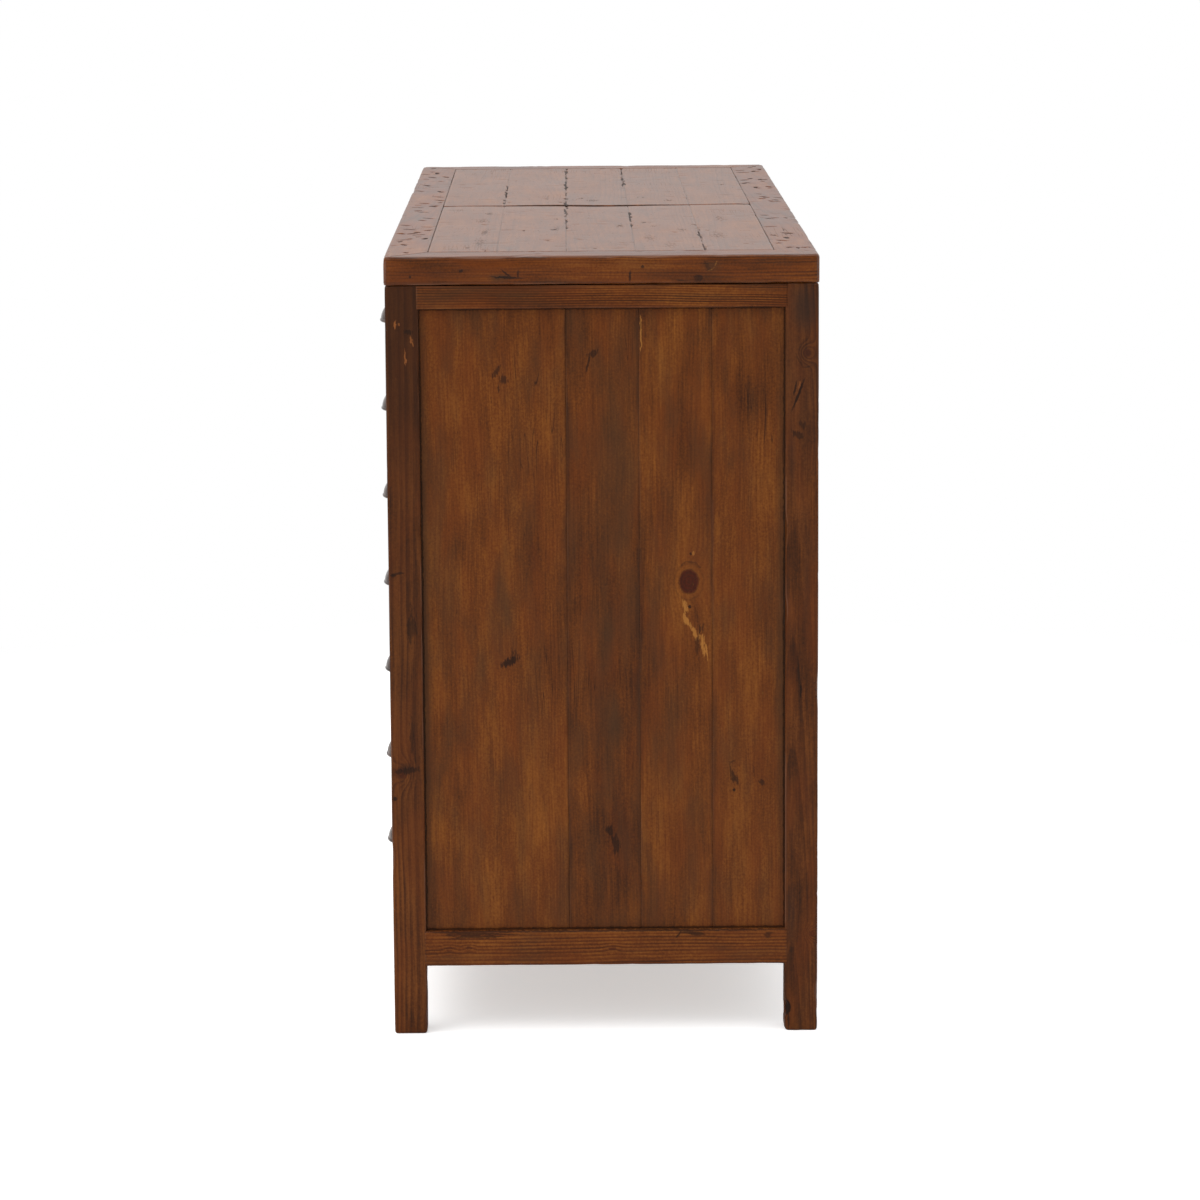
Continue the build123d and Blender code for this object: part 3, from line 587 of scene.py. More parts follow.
def metalMaterial(name, base, pale, shadow, roughness):
    material, tree, shader = startMaterial(name)
    place = addNode(tree, "ShaderNodeTexCoord", output=3)
    patina = noise(tree, place, 130.0, 5.0, 0.65)
    bloom = noise(tree, place, 38.0, 3.0, 0.5)
    colour = ramp(tree, patina * 0.6 + bloom * 0.4, [(0.34, shadow), (0.52, base), (0.70, pale)])
    feed(tree, colour, shader.inputs["Base Color"])
    shader.inputs["Metallic"].default_value = 1.0
    feed(tree, (bloom - 0.5) * 0.3 + roughness, shader.inputs["Roughness"])
    values = {"Strength": 0.25, "Distance": 0.0004, "Height": patina}
    feed(tree, addNode(tree, "ShaderNodeBump", values), shader.inputs["Normal"])
    return material


agedPewter = metalMaterial("agedPewter", tint(86, 69, 61), tint(132, 112, 103), tint(38, 28, 24), 0.24)
screwSteel = metalMaterial("screwSteel", tint(104, 98, 94), tint(140, 134, 130), tint(66, 58, 52), 0.42)


# Worn board: one node tree makes every board of the chest

boardSizes = (  # lengths
    "Length", "Width", "Thickness", "Spacing Along", "Spacing Across", "Spacing Deep", "Edge Radius",
    "Inner Radius", "End Radius", "Edge Wear", "Bow", "Hollows", "Mitre",
)
boardSockets = [(word, "Float") for word in boardSizes] + [
    ("Grain Offset", "Vector"), ("Grain Tilt", "Vector"), ("Tone", "Float"), ("Seed", "Float"),
    ("Material", "Material"),
]
edgeLoops = 3
edgeBand = 6.0 * mm
boardNoise = {"edge": 22.0, "nicks": 130.0, "bow": 2.6, "ripple": 11.0, "hollows": 48.0}  # waves to the metre


def makeBoardTree():
    tree, given = startTree("wornBoard", boardSockets)
    sizes = [given[word] for word in ("Length", "Width", "Thickness")]
    gaps = [given[word] for word in ("Spacing Along", "Spacing Across", "Spacing Deep")]
    steps = [(size / gap).math("FLOOR").math("MAXIMUM", 1.0) for size, gap in zip(sizes, gaps)]
    values = {"Size": combine(tree, *sizes)}
    for letter, step in zip("XYZ", steps):
        values["Vertices " + letter] = step + (2 * edgeLoops + 1)
    mesh = addNode(tree, "GeometryNodeMeshCube", values)

    place = addNode(tree, "GeometryNodeInputPosition")
    graded = []
    for value, size, step in zip(place.parts(), sizes, steps):
        half = size * 0.5
        share = (value / half).math("ABSOLUTE")
        turn = step / (step + 2 * edgeLoops)
        band = (half * 0.7).math("MINIMUM", edgeBand) / half
        within = share * band.flip() / turn
        beyond = band.flip() + (share - turn) * band / turn.flip()
        moved = within + share.math("GREATER_THAN", turn) * (beyond - within)
        graded.append(value.math("SIGN") * moved * half)
    x, y, z = graded
    cut = given["Mitre"] * (y / given["Width"] + 0.5)
    halfX = given["Length"] * 0.5 - cut
    x = x * (cut / (given["Length"] * 0.5)).flip()
    halves = [halfX, given["Width"] * 0.5, given["Thickness"] * 0.5]
    point = combine(tree, x, y, z)
    seed = given["Seed"]
    shifted = point.vector("ADD", combine(tree, seed * 7.31, seed * 3.17, seed * 1.93))

    # edges are rounded, more where they are worn
    nearEnd = (halfX - x.math("ABSOLUTE")).smooth(0.0, 0.016).flip()
    worn = noise(tree, shifted, boardNoise["edge"], 2.0).smooth(0.42, 0.74)
    worn = worn + noise(tree, shifted, boardNoise["nicks"], 1.0).smooth(0.56, 0.80) * 0.5
    inside = (y / given["Width"]).smooth(-0.25, 0.25)
    radius = given["Edge Radius"] * inside.flip() + given["Inner Radius"] * inside
    radius = radius + given["Edge Wear"] * worn * (inside * 0.6).flip()
    radius = radius * nearEnd.flip() + (given["End Radius"] + given["Edge Wear"] * worn * 0.2) * nearEnd
    radius = radius.math("MINIMUM", given["Thickness"] * 0.42)
    core = []
    for value, half in zip((x, y, z), halves):
        reach = half - radius
        core.append(value.math("MINIMUM", reach).math("MAXIMUM", reach * -1.0))
    core = combine(tree, *core)
    outward = point.vector("SUBTRACT", core).vector("NORMALIZE")
    shaped = core.vector("ADD", outward.scaled(radius))

    # a slow bow along the board and shallow hollows in its faces
    sway, ripple = [
        noise(tree, shifted, boardNoise[word], 1.0, 0.5, 1).vector("SUBTRACT", (0.5, 0.5, 0.5))
        for word in ("bow", "ripple")
    ]
    bend = sway.vector("ADD", ripple.scaled(0.4)).vector("MULTIPLY", (0.0, 1.0, 1.0))
    shaped = shaped.vector("ADD", bend.scaled(given["Bow"]))
    dent = noise(tree, shifted, boardNoise["hollows"], 2.0).smooth(0.58, 0.78) * given["Hollows"]
    shaped = shaped.vector("SUBTRACT", outward.scaled(dent))

    # what the finish needs to know about each point
    rest = [half - value.math("ABSOLUTE") for half, value in zip(halves, (x, y, z))]
    least = rest[0].math("MINIMUM", rest[1]).math("MINIMUM", rest[2])
    most = rest[0].math("MAXIMUM", rest[1]).math("MAXIMUM", rest[2])
    edgeDist = rest[0] + rest[1] + rest[2] - least - most
    grain = point.vector("ADD", given["Grain Offset"]).vector("ADD", given["Grain Tilt"].scaled(x))
    for word, kind, value in (
        ("grain", "FLOAT_VECTOR", grain), ("edgeDist", "FLOAT", edgeDist), ("tone", "FLOAT", given["Tone"]),
    ):
        node = tree.nodes.new("GeometryNodeStoreNamedAttribute")
        node.data_type = kind
        node.domain = "POINT"
        feed(tree, mesh, node.inputs["Geometry"])
        node.inputs["Name"].default_value = word
        feed(tree, value, node.inputs["Value"])
        mesh = Wire(tree, node.outputs[0])
    mesh = addNode(tree, "GeometryNodeSetPosition", {"Geometry": mesh, "Position": shaped})
    mesh = addNode(tree, "GeometryNodeSetShadeSmooth", {"Geometry": mesh})
    mesh = addNode(tree, "GeometryNodeRealizeInstances", {"Geometry": mesh})
    mesh = addNode(tree, "GeometryNodeSetMaterial", {"Geometry": mesh, "Material": given["Material"]})
    feed(tree, mesh, tree.nodes.new("NodeGroupOutput").inputs[0])
    return tree


boardTree = makeBoardTree()
socketIds = inputIds(boardTree)
axisWay = {
    "x": Vector((1, 0, 0)), "-x": Vector((-1, 0, 0)),
    "y": Vector((0, 1, 0)), "-y": Vector((0, -1, 0)),
    "z": Vector((0, 0, 1)), "-z": Vector((0, 0, -1)),
}
pieces = {}  # name: body, nodes it stands for, slot, material and boards


def startPiece(name, body, nodes, slot, material):
    pieces[name] = {"body": body, "nodes": nodes, "slot": slot, "material": material, "boards": []}
    return name


def addBoard(piece, low, high, along, face, look, tone=0.0, mitre=0.0):
    low = Vector(low)
    high = Vector(high)
    ways = [axisWay[along], axisWay[face].cross(axisWay[along]), axisWay[face]]
    size = [abs((high - low).dot(way)) for way in ways]
    turn = Matrix(ways).transposed().to_4x4()
    place = Matrix.Translation((low + high) * 0.5 * mm) @ turn
    pieces[piece]["boards"].append((size, place, look, tone, mitre))


grainDraw = {  # how the wood lies in a board: its shift in metres, the others as shares
    "side": (0.2, 0.9), "shift": (-9.0, 9.0), "tiltAcross": (-0.008, 0.008), "tiltDeep": (-0.03, 0.03),
    "seed": (0.0, 40.0),
}


def evaluateBoards():
    made, holders = [], []
    for name, piece in pieces.items():
        for size, place, look, tone, mitre in piece["boards"]:
            draw = np.random.default_rng(1001 + len(made))
            pick = picker(draw, {**grainDraw, **look})
            pith = pick("pith")
            side = draw.choice((-1.0, 1.0)) * pick("side")
            worn = [look[word] for word in ("edge", "inner", "end", "wear", "bow", "hollows")]
            sizes = (*size, *look["spacing"], *worn, mitre)
            values = {word: value * mm for word, value in zip(boardSizes, sizes)}
            values["Grain Offset"] = (pick("shift"), side * size[1] * mm * look["skew"], pith * mm)
            values["Grain Tilt"] = (0.0, pick("tiltAcross"), pick("tiltDeep"))
            values["Tone"] = tone + draw.uniform(-look["toneRange"], look["toneRange"])
            values["Seed"] = pick("seed")
            values["Material"] = piece["material"]
            holders.append(holdTree(boardTree, socketIds, bpy.data.meshes.new("board"), values))
            made.append((name, place))
    for (name, place), mesh in zip(made, freezeHolders(holders)):
        mesh.transform(place)
        pieces[name].setdefault("meshes", []).append(mesh)
    return len(made)


def readMesh(mesh):  # corners, faces of four, and the stored values as arrays
    count = len(mesh.vertices)
    co = np.empty(count * 3, np.float32)
    mesh.vertices.foreach_get("co", co)
    loops = np.empty(len(mesh.loops), np.int32)
    mesh.loops.foreach_get("vertex_index", loops)
    grain = np.empty(count * 3, np.float32)
    mesh.attributes["grain"].data.foreach_get("vector", grain)
    values = []
    for word in ("edgeDist", "tone"):
        value = np.empty(count, np.float32)
        mesh.attributes[word].data.foreach_get("value", value)
        values.append(value)
    return co.reshape(-1, 3), loops.reshape(-1, 4), grain.reshape(-1, 3), *values


def gatherPiece(piece):
    parts = [readMesh(mesh) for mesh in piece["meshes"]]
    starts = np.cumsum([0] + [len(part[0]) for part in parts])
    piece["faces"] = np.concatenate([part[1] + start for part, start in zip(parts, starts)])
    for word, index in (("co", 0), ("grain", 2), ("edgeDist", 3), ("tone", 4)):
        piece[word] = np.concatenate([part[index] for part in parts])
    piece["board"] = np.concatenate([np.full(len(part[0]), i) for i, part in enumerate(parts)])
    count = len(piece["co"])
    piece["knot"] = np.full(count, noKnot, np.float32)
    piece["mark"] = np.zeros(count, np.float32)
    for mesh in piece["meshes"]:
        bpy.data.meshes.remove(mesh)


def settlePiece(name, piece):  # one plain mesh for the piece, on its body
    mesh = bpy.data.meshes.new(name)
    faces = piece["faces"]
    mesh.vertices.add(len(piece["co"]))
    mesh.loops.add(faces.size)
    mesh.polygons.add(len(faces))
    mesh.vertices.foreach_set("co", piece["co"].astype(np.float32).ravel())
    mesh.loops.foreach_set("vertex_index", faces.astype(np.int32).ravel())
    mesh.polygons.foreach_set("loop_start", np.arange(0, faces.size, 4, dtype=np.int32))
    mesh.polygons.foreach_set("use_smooth", np.ones(len(faces), bool))
    mesh.update(calc_edges=True)
    mesh.validate()
    mesh.attributes.new("grain", "FLOAT_VECTOR", "POINT").data.foreach_set("vector", piece["grain"].ravel())
    for word in ("edgeDist", "tone", "knot", "mark"):
        mesh.attributes.new(word, "FLOAT", "POINT").data.foreach_set("value", piece[word].astype(np.float32))
    mesh.materials.append(piece["material"])
    placePiece(name, mesh, piece["body"], piece["nodes"])


def placePiece(name, mesh, body, nodes):
    thing = bpy.data.objects.new(name, mesh)
    scene.collection.objects.link(thing)
    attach(thing, body)
    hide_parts(*nodes)


# How each kind of board is worn; sizes in millimetres

boardLook = {
    "post": dict(spacing=(4.0, 4.0, 4.0), edge=1.4, end=3.0, wear=1.3, bow=0.9, hollows=0.5),
    "rail": dict(
        spacing=(4.0, 4.0, 5.0), edge=0.9, end=0.3, wear=0.9, bow=0.5, hollows=0.4, pith=(0.0, 25.0), skew=5.0
    ),
    "panel": dict(spacing=(4.5, 4.0, 6.0), edge=0.45, end=0.4, wear=0.5, bow=0.5, hollows=0.35),
    "tightPanel": dict(spacing=(4.5, 4.0, 6.0), edge=0.1, end=0.4, wear=0.15, bow=0.12, hollows=0.35),
    "backPanel": dict(spacing=(9.0, 8.0, 8.0), edge=0.6, end=0.4, wear=0.6, bow=0.8, hollows=0.5),
    "slabRail": dict(spacing=(3.2, 3.0, 3.5), edge=3.0, inner=0.5, end=0.3, wear=1.0, bow=0.9, hollows=0.7),
    "slabBoard": dict(
        spacing=(5.0, 4.0, 8.0), edge=0.1, end=0.9, wear=0.0, bow=0.0, hollows=0.6, toneRange=0.02
    ),
    "divider": dict(spacing=(5.0, 5.0, 4.0), edge=0.9, end=0.3, wear=0.9, bow=0.4, hollows=0.4),
    "partition": dict(spacing=(5.0, 26.0, 5.0), edge=0.9, end=0.3, wear=0.9, bow=0.4, hollows=0.3),
    "front": dict(spacing=(5.0, 4.2, 7.0), edge=1.3, end=1.3, wear=1.2, bow=0.5, hollows=0.5),
    "box": dict(spacing=(28.0, 12.0, 6.0), edge=0.7, end=0.5, wear=0.5, bow=0.2, hollows=0.2),
}
for look in boardLook.values():
    look.setdefault("inner", look["edge"])
    look.setdefault("pith", (25.0, 70.0))
    look.setdefault("skew", 0.9)
    look.setdefault("toneRange", 0.05)

plan = {  # planes of the chest in millimetres, front at -y, photographed end at +x
    "sideX": 659.0, "postInX": 624.0, "railInX": 635.0, "panelX": (640.0, 652.0),
    "frontY": -220.5, "frontPostBackY": -185.5, "backPostFrontY": 199.5, "backY": 234.5,
    "railInY": 210.5, "backPanelY": (215.5, 227.5),
    "bottomRail": (75.0, 113.0), "topRail": (783.0, 807.3),
    "boardPitch": 77.0, "boardCount": 5, "overlap": 2.0, "markMargin": 25.0,
    "partitionX": (-212.0, 212.0), "partitionHalf": 12.0, "muntinHalf": 20.0,
    "backBays": ((-624.0, -232.0), (-192.0, 192.0), (232.0, 624.0)),
    "openingHalf": 200.0, "dividerThick": 12.0,
}
bayZ = (plan["bottomRail"][1] - plan["overlap"], plan["topRail"][0] + plan["overlap"])  # into both rails
endSign = {"right": 1.0, "left": -1.0}


def spanX(side, first, second):  # the same two planes at either end of the chest
    return sorted((endSign[side] * first, endSign[side] * second))


def carcasePiece(name, node, material):
    return startPiece(name, "carcase", [node], "stained_pine", material)


endTone = {  # shift of shade of the photographed posts and the end rails
    "front": 0.2, "back": 0.08, "lowRail": 0.08, "highRail": -0.02,
}
panelTone = {"right": (0.01, -0.16, -0.02, 0.04), "left": (0.03, -0.05, 0.0, -0.1, 0.02)}


def addPosts():
    for depth in ("front", "back"):
        for side in ("left", "right"):
            low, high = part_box(f"{depth}_{side}_post")
            material = endPostPine[depth] if side == "right" else postPine
            name = carcasePiece(f"{depth}_{side}_post_wood", f"{depth}_{side}_post", material)
            tone = endTone[depth] if side == "right" else 0.0
            addBoard(name, low / mm, high / mm, "z", "x", boardLook["post"], tone)


def addRails():
    levels = (plan["bottomRail"], plan["topRail"])
    front = carcasePiece("front_rails_wood", "front_rails", railPine)
    back = carcasePiece("back_frame_wood", "back_frame", railPine)
    lowEnds = carcasePiece("side_low_rails_wood", "side_rails", lowRailPine)
    highEnds = carcasePiece("side_high_rails_wood", "side_rails", highRailPine)
    reach = plan["postInX"] + plan["overlap"]
    spans = ((front, plan["frontY"], plan["frontPostBackY"]), (back, plan["railInY"], plan["backY"]))
    for low, high in levels:
        for piece, nearY, farY in spans:
            addBoard(piece, (-reach, nearY, low), (reach, farY, high), "x", "y", boardLook["rail"])
        for side in endSign:
            lowX, highX = spanX(side, plan["railInX"], plan["sideX"])
            lowY = plan["frontPostBackY"] - plan["overlap"]
            highY = plan["backPostFrontY"] + plan["overlap"]
            piece, word = (lowEnds, "lowRail") if low == plan["bottomRail"][0] else (highEnds, "highRail")
            lowest, highest = (lowX, lowY, low), (highX, highY, high)
            addBoard(piece, lowest, highest, "y", "x", boardLook["rail"], endTone[word])
    for middle in plan["partitionX"]:
        low = (middle - plan["muntinHalf"], plan["railInY"], bayZ[0])
        high = (middle + plan["muntinHalf"], plan["backY"], bayZ[1])
        addBoard(back, low, high, "z", "y", boardLook["rail"])


def marksBetween(start, end):  # the marks of the photographed end that reach one of its boards
    low, high = start - plan["markMargin"], end + plan["markMargin"]
    knots = [mark for mark in endPanelMarks["knots"] if low < mark[0][1] < high]
    spots = [mark for mark in endPanelMarks["spots"] if low < mark[1][1] < high]
    return {"knots": knots, "spots": spots}


def addPanels():
    lowZ, highZ = bayZ
    for side in endSign:
        node = f"{side}_side_panel"
        lowX, highX = spanX(side, *plan["panelX"])
        numbers = range(plan["boardCount"] + 1)
        joints = [plan["frontPostBackY"] + number * plan["boardPitch"] for number in numbers]
        if side == "right":
            joints.pop(1)  # the first joint is closed up and stained over
        joints[0] -= plan["overlap"]
        joints[-1] += plan["overlap"]
        for number, (start, end, tone) in enumerate(zip(joints[:-1], joints[1:], panelTone[side])):
            look = boardLook["panel" if number < 1 else "tightPanel"]
            material = panelPine
            if side == "right":  # each board of the photographed end has its own marks
                material = pineMaterial(f"endPanelPine{number}", marksBetween(start, end), **panelChanges)
            name = carcasePiece(f"{node}_board_{number + 1}", node, material)
            addBoard(name, (lowX, start, lowZ), (highX, end, highZ), "z", "x", look, tone)
    back = carcasePiece("back_panels_wood", "back_panels", panelPine)
    nearY, farY = plan["backPanelY"]
    for start, end in plan["backBays"]:
        pitch = (end - start + 2 * plan["overlap"]) / plan["boardCount"]
        for number in range(plan["boardCount"]):
            left = start - plan["overlap"] + number * pitch
            low, high = (left, nearY, lowZ), (left + pitch, farY, highZ)
            addBoard(back, low, high, "z", "y", boardLook["backPanel"])


def addInside():
    nearY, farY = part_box("partitions")[0].y / mm, plan["railInY"] + plan["overlap"]
    name = carcasePiece("partitions_wood", "partitions", frontPine)
    for middle in plan["partitionX"]:
        low = (middle - plan["partitionHalf"], nearY, bayZ[0])
        high = (middle + plan["partitionHalf"], farY, bayZ[1])
        addBoard(name, low, high, "z", "x", boardLook["partition"])
    name = carcasePiece("drawer_dividers_wood", "drawer_dividers", frontPine)
    half = plan["openingHalf"] + plan["overlap"]
    for middle in columnX.values():
        for floor in floorZ[:-1]:
            low = (middle - half, plan["frontY"], floor - plan["dividerThick"])
            high = (middle + half, plan["frontPostBackY"], floor)
            addBoard(name, low, high, "x", "z", boardLook["divider"])


def addTop():
    x, fieldX = slab["x"], slab["fieldX"]
    front, back = slab["frontY"], slab["backY"]
    lowZ, highZ = slab["z"]
    fieldFront, fieldBack = slab["fieldY"]
    rails = {
        "top_front_rail": ((-x, front, lowZ), (x, fieldFront, highZ), "x", x - fieldX),
        "top_back_rail": ((-x, fieldBack, lowZ), (x, back, highZ), "-x", x - fieldX),
        "top_right_rail": ((fieldX, front, lowZ), (x, back, highZ), "y", fieldFront - front),
        "top_left_rail": ((-x, front, lowZ), (-fieldX, back, highZ), "-y", fieldFront - front),
    }
    for name, (low, high, along, mitre) in rails.items():
        carcasePiece(name, "top_frame", slabEndPine if along.endswith("y") else slabPine)
        addBoard(name, low, high, along, "z", boardLook["slabRail"], 0.0, mitre)
    name = carcasePiece("top_battens", "top_frame", frontPine)
    for middle in slab["battenX"]:
        low = (middle - slab["battenHalf"], fieldFront, lowZ)
        high = (middle + slab["battenHalf"], fieldBack, slab["boardZ"] - slab["battenPlay"])
        addBoard(name, low, high, "y", "z", boardLook["box"])
    name = carcasePiece("top_boards_wood", "top_boards", fieldPine)
    pitch = (fieldBack - fieldFront) / slab["boards"]
    for number in range(slab["boards"]):
        start = fieldFront + number * pitch
        lowY = start + (slab["gap"] if number == 0 else 0.0)
        highY = start + pitch - (slab["gap"] if number == slab["boards"] - 1 else 0.0)
        for first, last in ((-fieldX, 0.0), (0.0, fieldX)):
            low = (first + slab["gap"], lowY, slab["boardZ"])
            high = (last - slab["gap"], highY, highZ)
            addBoard(name, low, high, "x", "z", boardLook["slabBoard"])


# Drawers: three columns of seven, rows counted from the top

columnX = {"left": -424.0, "middle": 0.0, "right": 424.0}
floorZ = [697.571, 600.143, 502.714, 405.286, 307.857, 210.429, 113.0]
drawer = {
    "half": 198.5, "innerHalf": 186.5, "length": 426.0, "frontThick": 20.0, "gap": 1.5,
    "openingHeight": 85.429, "sideLow": 0.3, "sideTop": 73.429, "backY": 414.0, "backTop": 67.429,
    "bottomZ": (8.0, 14.0), "tailPlaces": (0.36, 0.76), "tailRoot": 0.2, "tailTip": 0.28,
    "tailLength": 12.0, "tailLap": 1.5, "tailInset": 0.5,
    "shy": 0.4, "lap": 1.0, "backPlay": 0.3, "bottomPlay": 0.4,
}
drawers = [(column, row) for column in columnX for row in range(1, len(floorZ) + 1)]


def addDrawer(column, row):
    body = f"{column}_drawer_{row}"
    node = f"drawer_{column}_{row}"
    x, y, z = columnX[column], plan["frontY"], floorZ[row - 1]
    half, inner, thick = drawer["half"], drawer["innerHalf"], drawer["frontThick"]
    name = startPiece(node + "_front", body, [node], "stained_pine", frontPine)
    low = (x - half + drawer["shy"], y, z + drawer["gap"])
    high = (x + half - drawer["shy"], y + thick, z + drawer["openingHeight"] - drawer["gap"])
    addBoard(name, low, high, "x", "y", boardLook["front"])
    name = startPiece(node + "_box", body, [node], "stained_pine", boxPine)
    far = y + drawer["length"]
    near = y + thick - drawer["lap"]
    for side in (-1.0, 1.0):
        lowX, highX = sorted((x + side * inner, x + side * half))
        low, high = (lowX, near, z + drawer["sideLow"]), (highX, far, z + drawer["sideTop"])
        addBoard(name, low, high, "y", "x", boardLook["box"])
    lowX, highX = x - inner - drawer["lap"], x + inner + drawer["lap"]
    lowZ, highZ = [z + height for height in drawer["bottomZ"]]
    low, high = (lowX, y + drawer["backY"], highZ), (highX, far - drawer["backPlay"], z + drawer["backTop"])
    addBoard(name, low, high, "x", "y", boardLook["box"])
    low, high = (lowX, near, lowZ), (highX, far - drawer["bottomPlay"], highZ)
    addBoard(name, low, high, "x", "z", boardLook["box"])


addPosts()
addRails()
addPanels()
addInside()
addTop()
for column, row in drawers:
    addDrawer(column, row)
boardNumber = evaluateBoards()
for piece in pieces.values():
    gatherPiece(piece)
print("boards:", boardNumber, "in", len(pieces), "pieces")


# Scars that change the shape: chips, opened joints and rubbed corners, in millimetres

def carve(piece, centre, size, depth, way, mark, turn=0.0):
    offset = piece["co"] / mm - np.array(centre)
    if turn:  # about the upright axis
        cos, sin = math.cos(turn), math.sin(turn)
        x = offset[:, 0] * cos + offset[:, 1] * sin
        y = offset[:, 1] * cos - offset[:, 0] * sin
        offset = np.stack([x, y, offset[:, 2]], 1)
    far = ((offset / np.array(size)) ** 2).sum(1)
    near = far < 1
    push = depth * (1 - far[near]) ** 1.5
    piece["co"][near] += push[:, None] * np.array(way) * mm
    piece["mark"][near] = np.maximum(piece["mark"][near], mark * (1 - far[near] ** 2))


down = (0.0, 0.0, -1.0)
topScars = {
    "perRail": 42, "length": (4.0, 13.0), "width": (1.8, 3.4), "depth": (1.2, 3.0), "turn": (-1.2, 1.2),
    "reach": 6.0, "mark": 1.4,
    "nicks": 16, "nickSize": 9.0, "nickDrop": (0.0, 3.0), "nickLength": (8.0, 34.0),
    "nickDepth": (0.2, 1.0), "nickMark": (0.0, 0.36), "nickLean": 0.7,
    "openJoints": [  # number of the joint from the front, start and end along the chest
        (1, -307.0, -26.0), (2, -605.0, -150.0), (2, -40.0, 325.0), (3, -605.0, -293.0),
        (3, 130.0, 331.0), (4, 337.0, 604.0),
    ],
    "jointStep": (6.0, 26.0), "jointOverlap": 1.3, "jointWander": (-1.6, 1.6), "jointWidth": (0.8, 2.4),
    "jointReach": 7.0, "jointDepth": (0.3, 1.3), "jointMark": (0.3, 0.85),
    "endStep": (8.0, 30.0), "endWidth": (2.4, 4.6), "endReach": 20.0, "endDepth": 0.3,
    "endMark": (0.35, 0.85),
    "boardScars": 26, "boardX": (-590.0, 590.0), "boardLength": (3.0, 14.0), "boardWidth": (1.5, 4.0),
    "boardDepth": (0.6, 1.6), "boardMark": (0.4, 1.0), "boardTurn": (-0.4, 0.4),
    "cornerRadius": 9.0, "arris": 3.6, "railEnds": 30.0, "railEdges": (6.0, 5.0), "fieldEdges": 8.0,
}
crossJoint = {  # where the two lengths of top boards meet: heights in millimetres, waves and reach in metres
    "sink": 0.9, "sinkChange": 0.55, "sinkWave": 0.045, "sinkStart": 1.7, "sinkReach": 0.03, "sinkFrom": 10.0,
    "sway": 3.5, "swayWave": 0.038, "ripple": 0.6, "rippleWave": 0.017, "rippleStart": 1.0, "swayReach": 0.05,
}


def bendJoint(co):  # the photographed half has sunk a little, and the line wanders
    look = crossJoint
    wave = np.sin(co[:, 1] / look["sinkWave"] + look["sinkStart"])
    sink = (look["sink"] + look["sinkChange"] * wave) * mm * np.exp(-((co[:, 0] / look["sinkReach"]) ** 2))
    upper = co[:, 2] > (slab["boardZ"] + look["sinkFrom"]) * mm
    co[:, 2] -= sink * (co[:, 0] > 0) * upper
    ripple = look["ripple"] * np.sin(co[:, 1] / look["rippleWave"] + look["rippleStart"])
    sway = np.sin(co[:, 1] / look["swayWave"]) + ripple
    co[:, 0] += look["sway"] * mm * sway * np.exp(-((co[:, 0] / look["swayReach"]) ** 2))


